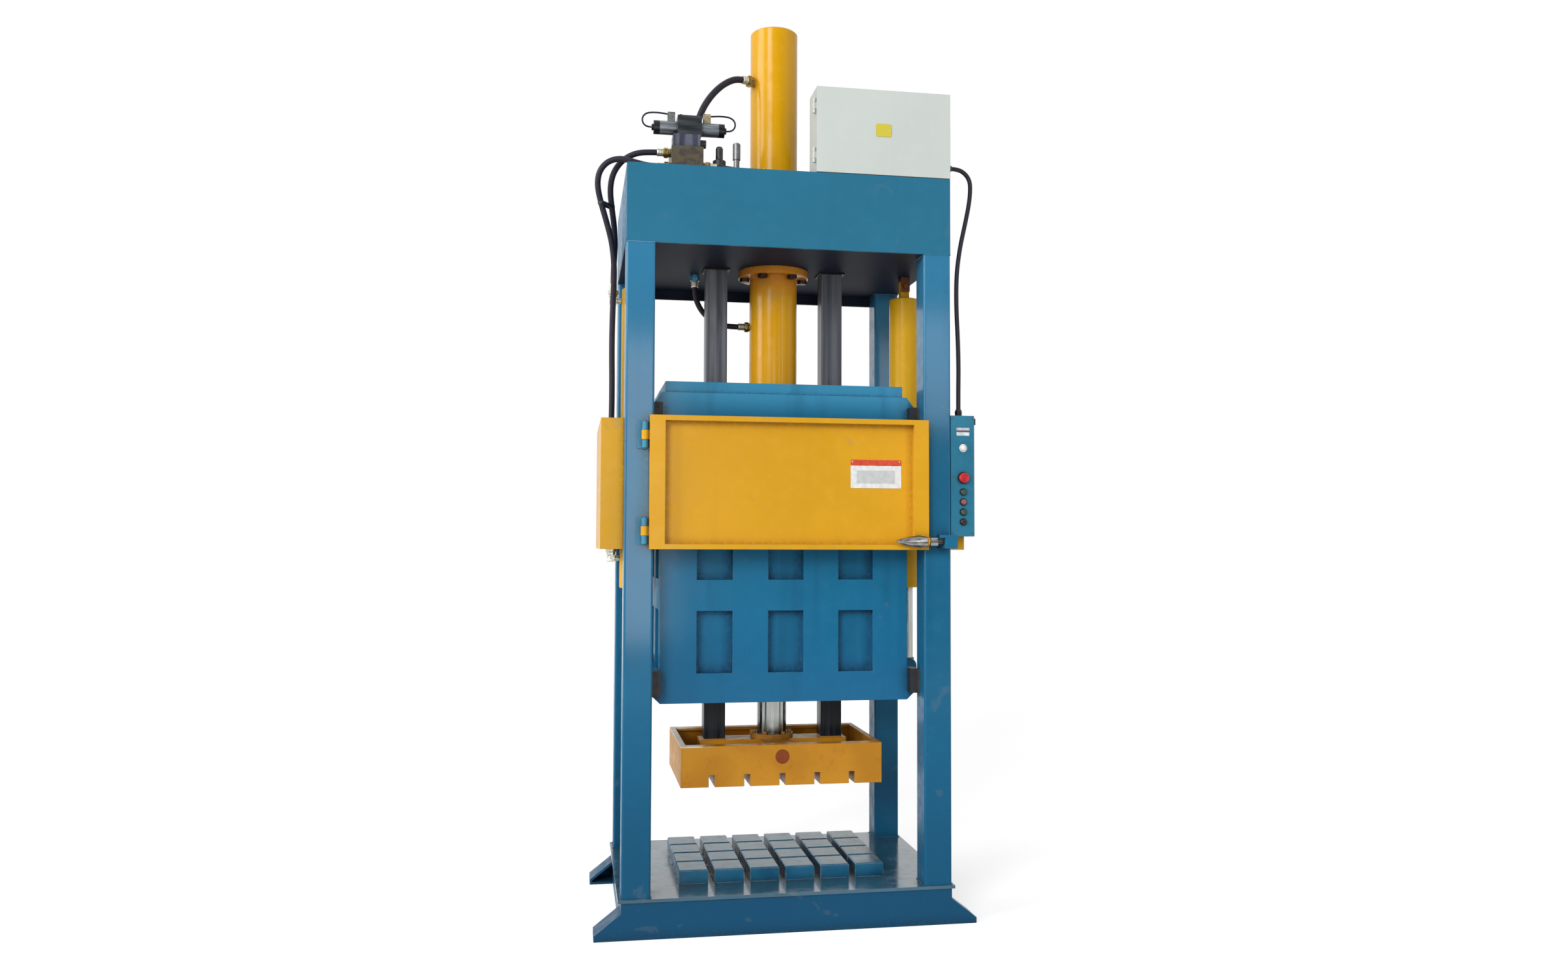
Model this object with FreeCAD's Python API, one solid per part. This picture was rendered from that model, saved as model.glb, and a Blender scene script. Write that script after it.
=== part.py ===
"""Vertical recycling baler with a lifting chamber.

X is to the right, Y to the back and Z up, in millimetres. The origin is on the floor, at the middle
of the base. The machine is drawn with its ram part-way down and its chamber lifted off the platform.
Each function below makes one sub-part, and the list at the end writes each one to its own file.
"""
import FreeCAD, Part
import math
import os

from FreeCAD import Vector

# ---------------------------------------------------------------- driving dimensions

# Clearances
slide_gap = 0.5            # between a sliding piece and what guides it
running_gap = 0.05         # radial, between a shaft or pin and its bore
seat_gap = 0.2             # radial, between a fixed piece and the hole it sits in

# Main frame. Its width over the posts follows from the chamber's.
frame_depth = 917.0        # over the posts
post_size = 112.0
post_wall = 8.0
post_corner = 8.0
base_beam_height = 140.0
base_beam_depth = 120.0
base_beam_wall = 10.0
foot_reach = 101.0         # of each flared foot, past the posts
foot_lip = 22.0
foot_slope_top = 100.0
rail_width = 90.0
rail_wall = 8.0
platform_thickness = 12.5
platform_side_overhang = 12.0
platform_front_overhang = 5.0

# Pressing blocks on the platform
block_columns = 6
block_rows = 4
column_pitch = 143.0
row_pitch = 144.0
block_width = 117.0
block_depth = 131.0
block_height = 55.0
block_bevel = 4.0

# Crosshead
crosshead_bottom = 2666.0
crosshead_height = 310.0
crosshead_bottom_plate = 16.0
crosshead_top_plate = 10.0
crosshead_wall = 10.0
rear_edge_drop = 43.0      # how far the bottom plate's rear edge turns down
web_offset = 150.0         # from the middle to each long web
web_thickness = 12.0

# Oil tank inside the crosshead
tank_side_gap = 40.0       # to the crosshead's side walls
tank_front_gap = 10.0
tank_wall = 4.0

# Main cylinder
barrel_radius = 102.0
barrel_wall = 12.0
barrel_drop = 706.0        # below the crosshead
barrel_rise = 732.0        # above the crosshead
barrel_cap = 30.0
barrel_edge = 5.0
flange_reach = 48.0        # past the barrel
flange_thickness = 30.0
flange_bolt_inset = 24.0   # from the flange's edge
flange_bolt_count = 6
flange_bolt_radius = 12.0
flange_bolt_head = 36.0    # across the flats
flange_bolt_head_height = 15.0
flange_nut_height = 19.0
flange_bolt_tail = 7.0     # past the nut
gland_length = 90.0
gland_lip = 15.0
gland_lip_inset = 3.0      # from the barrel's outside
rod_radius = 62.5
piston_length = 90.0
piston_rise = 391.0        # above the barrel's foot
piston_ring_inset = 25.0
piston_ring_width = 10.0
piston_ring_depth = 4.0
spigot_radius = 30.0
return_pipe_radius = 12.0
return_pipe_gap = 4.0      # between the pipe and the barrel
return_pipe_angle = 125.0  # around the barrel, from +X towards +Y
return_port_drop = 222.0   # below the crosshead
top_port_drop = 230.0      # below the barrel's top
top_port_angle = 205.0
port_boss_radius = 19.0
port_boss_reach = 6.0

# Platen, the pressing head
platen_side_gap = 14.5     # to the chamber's lining
platen_end_gap = 14.0
platen_bottom = 528.0
platen_height = 162.0
platen_side_wall = 22.0
platen_end_wall = 24.0
platen_lip_width = 45.0
platen_lip_thickness = 12.0
platen_floor = 16.0
strap_slot_width = 24.0
strap_slot_height = 48.0
spider_half_width = 60.0   # the cross of box beams inside the platen
spider_reach = 310.0
spider_wall = 14.0
spider_drop = 10.0         # below the rim
rod_socket_depth = 84.0
collar_reach = 27.5        # past the rod
collar_thickness = 20.0
collar_bolt_inset = 14.0   # from the collar's edge
collar_bolt_count = 6
collar_bolt_radius = 9.0
collar_bolt_height = 10.0
platen_pin_radius = 28.5
platen_pin_height = 642.0
platen_pin_end = 92.0
pin_plate_gap = 4.0        # between the rod and the plates that the pin bears on

# Guide bars of the platen
guide_offset = 249.0
guide_size = 90.0
guide_wall = 8.0
guide_corner = 6.0
guide_rise = 124.0         # above the crosshead
bush_wall = 10.0
bush_length = 160.0
bush_drop = 6.0            # below the crosshead
guide_hole_gap = 6.0       # round a bar in the crosshead's top plate

# Lifting chamber
chamber_inner_width = 850.0
chamber_inner_depth = 578.0
chamber_side_depth = 75.0  # lining and ribs, on each side
chamber_end_depth = 51.5   # lining and ribs, at the front and the back
chamber_bottom = 870.0
chamber_height = 1273.0
chamber_plate = 8.0
chamber_rim_height = 45.0
chamber_rim_step = 15.0
window_columns = 3
window_rows = 3
window_width = 143.0
window_height = 245.0
window_column_pitch = 286.0
window_row_pitch = 368.0
window_first_bottom = 117.0
side_window_columns = 2
side_window_width = 170.0
side_window_pitch = 270.0
shoe_height = 97.0
shoe_width = 38.0          # from the ribs to the post, with its gap
shoe_setback = 66.5        # from the front of the posts
shoe_rise = 32.0           # lowest shoe above the chamber's bottom edge
shoe_top_drop = 46.0       # highest shoe below the rim
shoe_corner = 5.0
wedge_root = 5.0           # how far a wedge reaches onto the ribbed frame
wedge_gap = 4.0            # a wedge stays this much further from the post than a shoe

# Lift cylinders
lift_inset = 67.0          # from the side of the posts to the axis
lift_barrel_radius = 65.0
lift_wall = 10.0
lift_barrel_bottom = 1312.0
lift_barrel_drop = 96.0    # below the crosshead
lift_cap = 25.0
lift_gland = 60.0
lift_rod_radius = 37.5
lift_piston_bottom = 2096.0
lift_piston_length = 50.0
lug_width = 38.0
lug_thickness = 36.0
lug_height = 80.0
lug_pin_radius = 11.0
lug_pin_drop = 40.0        # below the crosshead
cheek_thickness = 10.0
cheek_height = 62.0
lift_eye_height = 950.0
lift_eye_rise = 60.0       # from the eye's centre to the round rod
lift_eye_width = 76.0
lift_eye_thickness = 38.0
lift_pin_radius = 16.0
chamber_lug_reach = 46.0   # past the eye's centre
chamber_lug_thickness = 12.0
chamber_lug_half = 54.0
chamber_lug_corner = 28.0

# Panels and feed door
panel_bottom = 1476.0
panel_height = 514.0
panel_sheet = 4.0
side_panel_reach = 88.0    # out from the posts
side_panel_return = 30.0
side_panel_setback = 104.0 # from the front of the posts
rear_panel_inset = 90.0    # from the sides of the posts
rear_panel_fold = 30.0
door_left_inset = 93.0
door_right_inset = 104.0
door_thickness = 40.0
door_gap = 4.0             # between the door and the posts
door_side_border = 60.0
door_top_border = 20.0
hinge_inset = 77.0         # from the side of the posts to the hinge axis
hinge_reach = 22.0        # from the posts' front face to the hinge axis
hinge_heights = (1546.0, 1914.0)
hinge_knuckle_radius = 15.0
hinge_knuckle_half = 18.0
hinge_lug_radius = 13.0
hinge_lug_half = 50.0
hinge_pin_radius = 7.0
hinge_pin_end = 5.0
hinge_arm_half = 6.0
hinge_web_half = 7.0
hinge_plate = 6.0
hinge_plate_width = 42.0
hinge_plate_over = 11.0    # past the hinge axis, towards the door

# Door latch
latch_height = 1509.0
latch_reach = 75.0         # from the posts' front face to the latch axis
latch_grip_length = 120.0
latch_grip_radius = 25.0
latch_nose = 36.0          # length of the grip's rounded tip
latch_shoulder = 32.0      # from the grip's widest place to its end
latch_shaft_radius = 8.0
latch_stub_radius = 10.0
latch_gap = 2.0
latch_bearing_thickness = 8.0
latch_bearing_half = 16.0
latch_neck_length = 12.0
latch_collar_length = 30.0
latch_collar_radius = 19.0
latch_stub_length = 20.0
dog_gap = 3.0              # to the keeper
dog_length = 24.0
dog_half = 8.0
keeper_inset = 8.0         # from the side of the posts
keeper_width = 50.0
keeper_bottom = 1482.0
keeper_top = 1535.0
keeper_reach = 112.0
keeper_wall = 8.0
keeper_lip_clear = 22.0    # in front of the latch axis
keeper_lip_rise = 15.0     # above the latch axis

# Electrical cabinet
cabinet_overhang = 1.0     # past the side of the crosshead
cabinet_width = 552.0
cabinet_height = 348.0
cabinet_depth = 150.0
cabinet_sheet = 3.0
cabinet_door_depth = 21.0
cabinet_door_gap = 1.0
cabinet_hinge_reach = 7.0
cabinet_hinge_heights = (75.0, 275.0)
cabinet_knuckle_radius = 6.0
cabinet_knuckle_half = 14.0
cabinet_lug_height = 16.0
cabinet_lug_web = 4.0
cabinet_pin_radius = 2.5
cable_gland_setback = 80.0
cable_gland_rise = 69.0

# Control box
control_width = 98.0
control_depth = 98.0
control_bottom = 1530.0
control_height = 486.0
control_sheet = 3.0
control_column_reach = 51.0  # from the side of the posts
button_heights = (1588.0, 1628.0, 1668.0, 1708.0)
button_radius = 11.0
button_cap = 8.0
button_edge = 2.0
button_travel = 4.0
button_stem_radius = 8.0
button_stem_length = 24.0
bezel_wall = 3.0
bezel_height = 5.0
stop_height = 1765.0
stop_radius = 20.0
stop_cap = 14.0
stop_travel = 6.0
lamp_height = 1885.0
lamp_radius = 13.0
lamp_ring = 3.0
lamp_ring_depth = 4.0
knob_height = 1996.0
knob_radius = 14.0
knob_length = 18.0
knob_setback = 42.0
control_gland_setback = 50.0
control_gland_shift = 3.0

# Valve stack on the crosshead
valve_x = -388.0
valve_y = -208.0
manifold_width = 130.0
manifold_height = 139.0
manifold_front = 55.0
manifold_back = 103.0
manifold_shift = -10.0
sandwich_width = 112.0
sandwich_shift = -12.0
sandwich_height = 54.0
valve_depth = 80.0
spool_body_width = 99.0
spool_body_height = 78.0
coil_radius = 28.0
coil_length = 96.0
coil_nut_radius = 13.0
coil_nut_length = 8.0
plug_size = 30.0
plug_height = 40.0
plug_inset = 24.0
plug_seat = 5.0            # how far a plug reaches down round its coil
lead_diameter = 7.0
lead_side = 24.0           # one side of the half octagon that a lead's loop follows
cartridge_radius = 11.0
cartridge_length = 14.0
relief_knob_start = 4.0    # from the plate's side
relief_knob_radius = 17.0
relief_knob_length = 22.0
relief_knob_flutes = 8
relief_flute_radius = 3.0
breather_x = -190.0
breather_radius = 16.0
breather_height = 178.0
breather_cap = 70.0
switch_x = -262.0
switch_radius = 15.0
switch_height = 150.0

# Motor and pump
motor_x = 450.0
motor_y = -212.0
motor_radius = 78.0
motor_fin_reach = 10.0
motor_fin_count = 20
motor_height = 250.0
motor_cowl_height = 55.0
rotor_radius = 55.0
rotor_length = 140.0
shaft_radius = 12.0
pump_radius = 42.0
pump_height = 140.0
suction_radius = 14.0
suction_length = 110.0
outlet_x = 318.0           # the block that brings the pump's oil up through the lid
outlet_y = -262.0
outlet_size = 32.0
outlet_height = 26.0

# Hoses and cables
fitting_hex = 12.0
fitting_nut = 16.0
return_hose_x = -330.0
return_hose_y = 100.0
big_hose = 28.0
small_hose = 24.0
pressure_hose_diameter = 18.0
control_cable_diameter = 18.0
gland_reach = 22.0
elbow_reach = 36.0
elbow_half = 15.0
upper_port_drop = 50.0     # below the top of the lift barrel
lower_port_rise = 124.0    # above its foot

# ---------------------------------------------------------------- places worked out from them

chamber_outer_width = chamber_inner_width + 2 * chamber_side_depth
chamber_outer_depth = chamber_inner_depth + 2 * chamber_end_depth
chamber_top = chamber_bottom + chamber_height
chamber_frame_top = chamber_top - chamber_rim_height
shell_half_x = chamber_inner_width / 2 + chamber_plate
shell_half_y = chamber_inner_depth / 2 + chamber_plate
frame_width = chamber_outer_width + 2 * (shoe_width + post_size)
half_width = frame_width / 2
half_depth = frame_depth / 2
front = -half_depth
platform_top = base_beam_height + platform_thickness
crosshead_top = crosshead_bottom + crosshead_height
block_top = platform_top + block_height
strap_count = block_columns - 1
platen_width = chamber_inner_width - 2 * platen_side_gap
platen_depth = chamber_inner_depth - 2 * platen_end_gap
rim_top = platen_bottom + platen_height
spider_top = rim_top - spider_drop
collar_radius = rod_radius + collar_reach
collar_bolt_circle = collar_radius - collar_bolt_inset
bore_radius = barrel_radius - barrel_wall
barrel_bottom = crosshead_bottom - barrel_drop
barrel_top = crosshead_top + barrel_rise
flange_radius = barrel_radius + flange_reach
flange_bolt_circle = flange_radius - flange_bolt_inset
flange_bottom = crosshead_bottom - flange_thickness
gland_lip_radius = barrel_radius - gland_lip_inset
piston_bottom = barrel_bottom + piston_rise
piston_top = piston_bottom + piston_length
return_port_height = crosshead_bottom - return_port_drop
top_port_height = barrel_top - top_port_drop
guide_top = crosshead_top + guide_rise
lift_offset = half_width - lift_inset
lift_bore_radius = lift_barrel_radius - lift_wall
lift_barrel_top = crosshead_bottom - lift_barrel_drop
upper_port_height = lift_barrel_top - upper_port_drop
lower_port_height = lift_barrel_bottom + lower_port_rise
rear_panel_width = frame_width - 2 * rear_panel_inset
door_left = -half_width + door_left_inset
door_right = half_width - door_right_inset
door_front = front - door_gap - door_thickness
hinge_x = -half_width + hinge_inset
hinge_y = front - hinge_reach
latch_y = front - latch_reach
keeper_end_x = half_width - keeper_inset
keeper_start_x = keeper_end_x - keeper_width
dog_end_x = keeper_start_x - dog_gap
latch_collar_end_x = dog_end_x - latch_stub_length
latch_collar_start_x = latch_collar_end_x - latch_collar_length
latch_grip_end_x = latch_collar_start_x - latch_neck_length
latch_tip_x = latch_grip_end_x - latch_grip_length
cabinet_back = front + cabinet_depth
cabinet_right = half_width + cabinet_overhang
cabinet_left = cabinet_right - cabinet_width
control_right = half_width + control_width
control_top = control_bottom + control_height
control_column_x = half_width + control_column_reach
manifold_top = crosshead_top + manifold_height
sandwich_top = manifold_top + sandwich_height
spool_top = sandwich_top + spool_body_height
coil_height = sandwich_top + spool_body_height / 2 - 6.0
fitting_length = fitting_hex + fitting_nut


# ---------------------------------------------------------------- small helpers

def box(x0, x1, y0, y1, z0, z1):
    return Part.makeBox(x1 - x0, y1 - y0, z1 - z0, Vector(x0, y0, z0))


def rod_along(start, direction, radius, length):
    return Part.makeCylinder(radius, length, Vector(*start), Vector(*direction))


def ring_along(start, direction, outer, inner, length):
    return rod_along(start, direction, outer, length).cut(rod_along(start, direction, inner, length))


def face_of(points):
    corners = [Vector(*point) for point in points]
    return Part.Face(Part.makePolygon(corners + corners[:1]))


def prism_y(outline, y0, y1):
    """A solid from an outline of (x, z) points."""
    return face_of([(x, y0, z) for x, z in outline]).extrude(Vector(0, y1 - y0, 0))


def turned(profile, x=0.0, y=0.0):
    """A solid turned about the vertical line at x, y from (radius, z) points."""
    face = face_of([(x + radius, y, z) for radius, z in profile])
    return face.revolve(Vector(x, y, 0), Vector(0, 0, 1), 360)


def turned_on_x(profile, y, z):
    """A solid turned about a line along X from (radius, x) points."""
    face = face_of([(x, y, z + radius) for radius, x in profile])
    return face.revolve(Vector(0, y, z), Vector(1, 0, 0), 360)


def hexagon(centre, direction, across_flats, length):
    """A hexagonal prism that stands on its centre and runs along a direction."""
    radius = across_flats / math.sqrt(3)
    corners = [Vector(radius * math.cos(math.radians(60 * k)), radius * math.sin(math.radians(60 * k)), 0)
               for k in range(6)]
    prism = Part.Face(Part.makePolygon(corners + corners[:1])).extrude(Vector(0, 0, length))
    turn = FreeCAD.Rotation(Vector(0, 0, 1), Vector(*direction))
    prism.Placement = FreeCAD.Placement(Vector(*centre), turn)
    return prism


def fused(pieces):
    return pieces[0].multiFuse(pieces[1:]).removeSplitter()


def group(solids):
    return Part.makeCompound(solids)


def mirror_x(shape):
    return shape.mirror(Vector(0, 0, 0), Vector(1, 0, 0))


def mirror_y(shape):
    return shape.mirror(Vector(0, 0, 0), Vector(0, 1, 0))


def pair_x(shape):
    return group([shape, mirror_x(shape)])


def spread(count, pitch):
    """Positions of a row of equal pitch about the middle."""
    return [(index - (count - 1) / 2) * pitch for index in range(count)]


def upright_edges(shape, half):
    """The vertical edges at the outer corners of a square section."""
    def is_corner(edge):
        first, last = edge.Vertexes[0].Point, edge.Vertexes[-1].Point
        centre = shape.BoundBox.Center
        along_z = abs(first.x - last.x) < 1e-6 and abs(first.y - last.y) < 1e-6
        at_side = abs(abs(first.x - centre.x) - half) < 1e-3
        return along_z and at_side and abs(abs(first.y - centre.y) - half) < 1e-3
    return [edge for edge in shape.Edges if len(edge.Vertexes) == 2 and is_corner(edge)]


def square_tube(x, y, size, wall, corner, z0, z1):
    half = size / 2
    outer = box(x - half, x + half, y - half, y + half, z0, z1)
    outer = outer.makeFillet(corner, upright_edges(outer, half))
    inner = half - wall
    return outer.cut(box(x - inner, x + inner, y - inner, y + inner, z0, z1))


def around(radius, angle):
    """The x, y of a point on a circle about the main cylinder."""
    return radius * math.cos(math.radians(angle)), radius * math.sin(math.radians(angle))


def cord_path(points):
    """Straight runs joined by tangent arcs, and the arcs' radii."""
    corners = [Vector(*point) for point in points]
    edges, radii, start = [], [], corners[0]
    for before, corner, after in zip(corners, corners[1:], corners[2:]):
        into, out = (corner - before), (after - corner)
        reach = 0.45 * min(into.Length, out.Length)
        into.normalize()
        out.normalize()
        half_turn = into.getAngle(out) / 2
        radius = reach / math.tan(half_turn)
        inward = (out - into).normalize()
        arc_start, arc_end = corner - into * reach, corner + out * reach
        arc_middle = corner + inward * (radius / math.cos(half_turn) - radius)
        edges.append(Part.LineSegment(start, arc_start).toShape())
        edges.append(Part.Arc(arc_start, arc_middle, arc_end).toShape())
        radii.append(radius)
        start = arc_end
    edges.append(Part.LineSegment(start, corners[-1]).toShape())
    return Part.Wire(edges), radii


def cord_tube(name, points, diameter):
    path, radii = cord_path(points)
    first = Vector(*points[0])
    circle = Part.Circle(first, Vector(*points[1]) - first, diameter / 2).toShape()
    tube = path.makePipeShell([Part.Wire(circle)], True, False)
    ratio = tube.Volume / (math.pi * diameter ** 2 / 4 * path.Length)
    print("%s: length %.0f mm, least radius %.0f mm (%.1f diameters), volume ratio %.4f"
          % (name, path.Length, min(radii), min(radii) / diameter, ratio))
    return tube


def hose_fitting(port, direction, diameter):
    """A hexagonal adapter and a swivel nut, from a port's face outwards."""
    step = Vector(*direction)
    nut_start = Vector(*port) + step * fitting_hex
    return fused([hexagon(port, direction, diameter + 8, fitting_hex),
                  hexagon(tuple(nut_start), direction, diameter + 14, fitting_nut)])


def beyond(port, direction, distance):
    """The point at a distance from a port, where a hose takes over from its fitting."""
    return tuple(Vector(*port) + Vector(*direction) * distance)


# ---------------------------------------------------------------- base and posts

def base_beam():
    """The front channel with its flared feet. It is open towards the middle of the machine."""
    foot = half_width + foot_reach
    outline = [(-foot, 0), (foot, 0), (foot, foot_lip), (half_width, foot_slope_top),
               (half_width, base_beam_height), (-half_width, base_beam_height),
               (-half_width, foot_slope_top), (-foot, foot_lip)]
    run, rise = foot - half_width, foot_slope_top - foot_lip
    inset = base_beam_wall * math.hypot(run, rise) / rise
    tip = foot - base_beam_wall

    def under_slope(x):
        return foot_lip + (foot - inset - x) * rise / run

    channel = box(-half_width + base_beam_wall, half_width - base_beam_wall,
                  front + base_beam_wall, front + base_beam_depth,
                  base_beam_wall, base_beam_height - base_beam_wall)
    pocket = prism_y([(half_width, base_beam_wall), (tip, base_beam_wall), (tip, under_slope(tip)),
                      (half_width, under_slope(half_width))], front + base_beam_wall, front + base_beam_depth)
    beam = prism_y(outline, front, front + base_beam_depth)
    return beam.cut(channel).cut(pocket).cut(mirror_x(pocket))


def base_rails():
    """Two side rails and a middle rail between the two base beams."""
    back = half_depth - base_beam_depth
    rails = []
    for x in (-(half_width - rail_width / 2), 0.0, half_width - rail_width / 2):
        outer = box(x - rail_width / 2, x + rail_width / 2, -back, back, 0, base_beam_height)
        inner = box(x - rail_width / 2 + rail_wall, x + rail_width / 2 - rail_wall, -back, back,
                    rail_wall, base_beam_height - rail_wall)
        rails.append(outer.cut(inner))
    return rails


def platform_plate():
    side = half_width + platform_side_overhang
    return box(-side, side, front - platform_front_overhang, half_depth + platform_front_overhang,
               base_beam_height, platform_top)


def platform_blocks():
    blocks = []
    for x in spread(block_columns, column_pitch):
        for y in spread(block_rows, row_pitch):
            block = box(x - block_width / 2, x + block_width / 2, y - block_depth / 2, y + block_depth / 2,
                        platform_top, block_top)
            top_edges = [edge for edge in block.Edges if edge.BoundBox.ZMin > block_top - 1e-3]
            blocks.append(block.makeChamfer(block_bevel, top_edges))
    return group(blocks)


def front_post():
    return square_tube(half_width - post_size / 2, front + post_size / 2, post_size, post_wall, post_corner,
                       platform_top, crosshead_bottom)


# ---------------------------------------------------------------- crosshead

def guide_holes(size, z0, z1):
    half = size / 2
    return [box(x - half, x + half, -half, half, z0, z1) for x in (-guide_offset, guide_offset)]


def bush_size():
    return guide_size + 2 * slide_gap + 2 * bush_wall


def crosshead_bottom_plate_solid():
    z0, z1 = crosshead_bottom, crosshead_bottom + crosshead_bottom_plate
    plate = box(-half_width, half_width, front + crosshead_wall, half_depth, z0, z1)
    holes = [rod_along((0, 0, z0), (0, 0, 1), barrel_radius + seat_gap, z1 - z0)]
    holes += guide_holes(bush_size() + 2 * seat_gap, z0, z1)
    for x, y in flange_bolt_places():
        holes.append(rod_along((x, y, z0), (0, 0, 1), flange_bolt_radius + seat_gap, z1 - z0))
    between_posts = half_width - post_size
    rear_edge = box(-between_posts, between_posts, half_depth - crosshead_wall, half_depth,
                    z0 - rear_edge_drop, z1)
    return fused([plate.cut(holes), rear_edge])


def crosshead_top_plate_solid():
    z0, z1 = crosshead_top - crosshead_top_plate, crosshead_top
    plate = box(-half_width, half_width, front + crosshead_wall, half_depth, z0, z1)
    holes = [rod_along((0, 0, z0), (0, 0, 1), barrel_radius + seat_gap, z1 - z0)]
    holes += guide_holes(guide_size + 2 * guide_hole_gap, z0, z1)
    holes.append(rod_along((motor_x, motor_y, z0), (0, 0, 1), shaft_radius + 8, z1 - z0))
    return plate.cut(holes)


def crosshead_frame():
    """Side walls, rear wall and the two long webs that carry the cylinder's load."""
    z0 = crosshead_bottom + crosshead_bottom_plate
    z1 = crosshead_top - crosshead_top_plate
    inner = half_width - crosshead_wall
    front_inner = front + crosshead_wall
    side = box(inner, half_width, front_inner, half_depth, z0, z1)
    rear = box(-half_width, half_width, half_depth - crosshead_wall, half_depth, z0, z1)
    web = box(-half_width, half_width, web_offset, web_offset + web_thickness, z0, z1)
    return fused([side, mirror_x(side), rear, web, mirror_y(web)])


def crosshead_front_cover():
    return box(-half_width, half_width, front, front + crosshead_wall, crosshead_bottom, crosshead_top)


def oil_tank():
    """An open-topped steel tank that the crosshead's top plate closes."""
    z0, z1 = crosshead_bottom + crosshead_bottom_plate, crosshead_top - crosshead_top_plate
    y0, y1 = front + crosshead_wall + tank_front_gap, -(web_offset + web_thickness)
    half = half_width - crosshead_wall - tank_side_gap
    outer = box(-half, half, y0, y1, z0, z1)
    inner = box(-half + tank_wall, half - tank_wall, y0 + tank_wall, y1 - tank_wall, z0 + tank_wall, z1)
    return outer.cut(inner)


def guide_bushes():
    """A long square bush in the crosshead's bottom plate for each guide bar."""
    outer, inner = bush_size() / 2, guide_size / 2 + slide_gap
    z0 = crosshead_bottom - bush_drop
    z1 = z0 + bush_length
    ring = box(guide_offset - outer, guide_offset + outer, -outer, outer, z0, z1)
    return pair_x(ring.cut(box(guide_offset - inner, guide_offset + inner, -inner, inner, z0, z1)))


# ---------------------------------------------------------------- main cylinder

def flange_bolt_places():
    step = 360.0 / flange_bolt_count
    return [around(flange_bolt_circle, step * index) for index in range(flange_bolt_count)]


def return_pipe_centre():
    return barrel_radius + return_pipe_gap + return_pipe_radius


def return_pipe_place():
    return around(return_pipe_centre(), return_pipe_angle)


def main_cylinder():
    """A closed barrel with its mounting flange, its two ports and the welded return pipe."""
    profile = [(bore_radius, barrel_bottom), (barrel_radius, barrel_bottom), (barrel_radius, flange_bottom),
               (flange_radius, flange_bottom), (flange_radius, crosshead_bottom),
               (barrel_radius, crosshead_bottom), (barrel_radius, barrel_top - barrel_edge),
               (barrel_radius - barrel_edge, barrel_top), (0, barrel_top), (0, barrel_top - barrel_cap),
               (bore_radius, barrel_top - barrel_cap)]
    body = turned(profile)
    holes = [rod_along((x, y, flange_bottom), (0, 0, 1), flange_bolt_radius + seat_gap, flange_thickness)
             for x, y in flange_bolt_places()]
    x, y = around(1.0, top_port_angle)
    boss = rod_along((x * (bore_radius + 4), y * (bore_radius + 4), top_port_height), (x, y, 0),
                     port_boss_radius, barrel_radius - bore_radius - 4 + port_boss_reach)
    way_x, way_y = around(1.0, return_pipe_angle)
    pipe_x, pipe_y = return_pipe_place()
    start = bore_radius + 4
    pipe_bottom = barrel_bottom + gland_length + port_boss_radius + 4
    pipe = rod_along((pipe_x, pipe_y, pipe_bottom), (0, 0, 1), return_pipe_radius,
                     return_port_height - pipe_bottom)
    lower_boss = rod_along((way_x * start, way_y * start, pipe_bottom), (way_x, way_y, 0), port_boss_radius,
                           return_pipe_centre() - start + return_pipe_radius + 3)
    upper_boss = rod_along((way_x * start, way_y * start, return_port_height), (way_x, way_y, 0),
                           port_boss_radius - 6, return_pipe_centre() - start)
    block = box(pipe_x - elbow_half, pipe_x + elbow_half, pipe_y - elbow_half, pipe_y + elbow_half,
                return_port_height - elbow_half, return_port_height + elbow_half)
    return fused([body.cut(holes), boss, pipe, lower_boss, upper_boss, block])


def main_cylinder_gland():
    plug = bore_radius - seat_gap
    hole = rod_radius + running_gap
    return turned([(hole, barrel_bottom - gland_lip), (gland_lip_radius, barrel_bottom - gland_lip),
                   (gland_lip_radius, barrel_bottom), (plug, barrel_bottom),
                   (plug, barrel_bottom + gland_length), (hole, barrel_bottom + gland_length)])


def flange_bolts():
    nut_bottom = crosshead_bottom + crosshead_bottom_plate
    bolts = []
    for x, y in flange_bolt_places():
        head_bottom = flange_bottom - flange_bolt_head_height
        head = hexagon((x, y, head_bottom), (0, 0, 1), flange_bolt_head, flange_bolt_head_height)
        shank = rod_along((x, y, head_bottom), (0, 0, 1), flange_bolt_radius,
                          nut_bottom + flange_nut_height + flange_bolt_tail - head_bottom)
        nut = hexagon((x, y, nut_bottom), (0, 0, 1), flange_bolt_head, flange_nut_height)
        bolts.append(fused([head, shank, nut]))
    return group(bolts)


def main_piston():
    """The piston, with two ring grooves."""
    radius = bore_radius - running_gap
    hole, groove = spigot_radius + seat_gap, radius - piston_ring_depth
    profile = [(hole, piston_bottom), (radius, piston_bottom)]
    for low in (piston_bottom + piston_ring_inset, piston_top - piston_ring_inset - piston_ring_width):
        high = low + piston_ring_width
        profile += [(radius, low), (groove, low), (groove, high), (radius, high)]
    profile += [(radius, piston_top), (hole, piston_top)]
    return turned(profile)


def main_rod():
    """The chromed rod, turned down at the top to carry the piston and drilled for the platen's pin."""
    bottom = spider_top - rod_socket_depth
    rod = turned([(0, bottom), (rod_radius, bottom), (rod_radius, piston_bottom),
                  (spigot_radius, piston_bottom), (spigot_radius, piston_top), (0, piston_top)])
    hole = rod_along((0, -rod_radius - 5, platen_pin_height), (0, 1, 0), platen_pin_radius + seat_gap,
                     2 * rod_radius + 10)
    return rod.cut(hole)


# ---------------------------------------------------------------- platen

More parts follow.
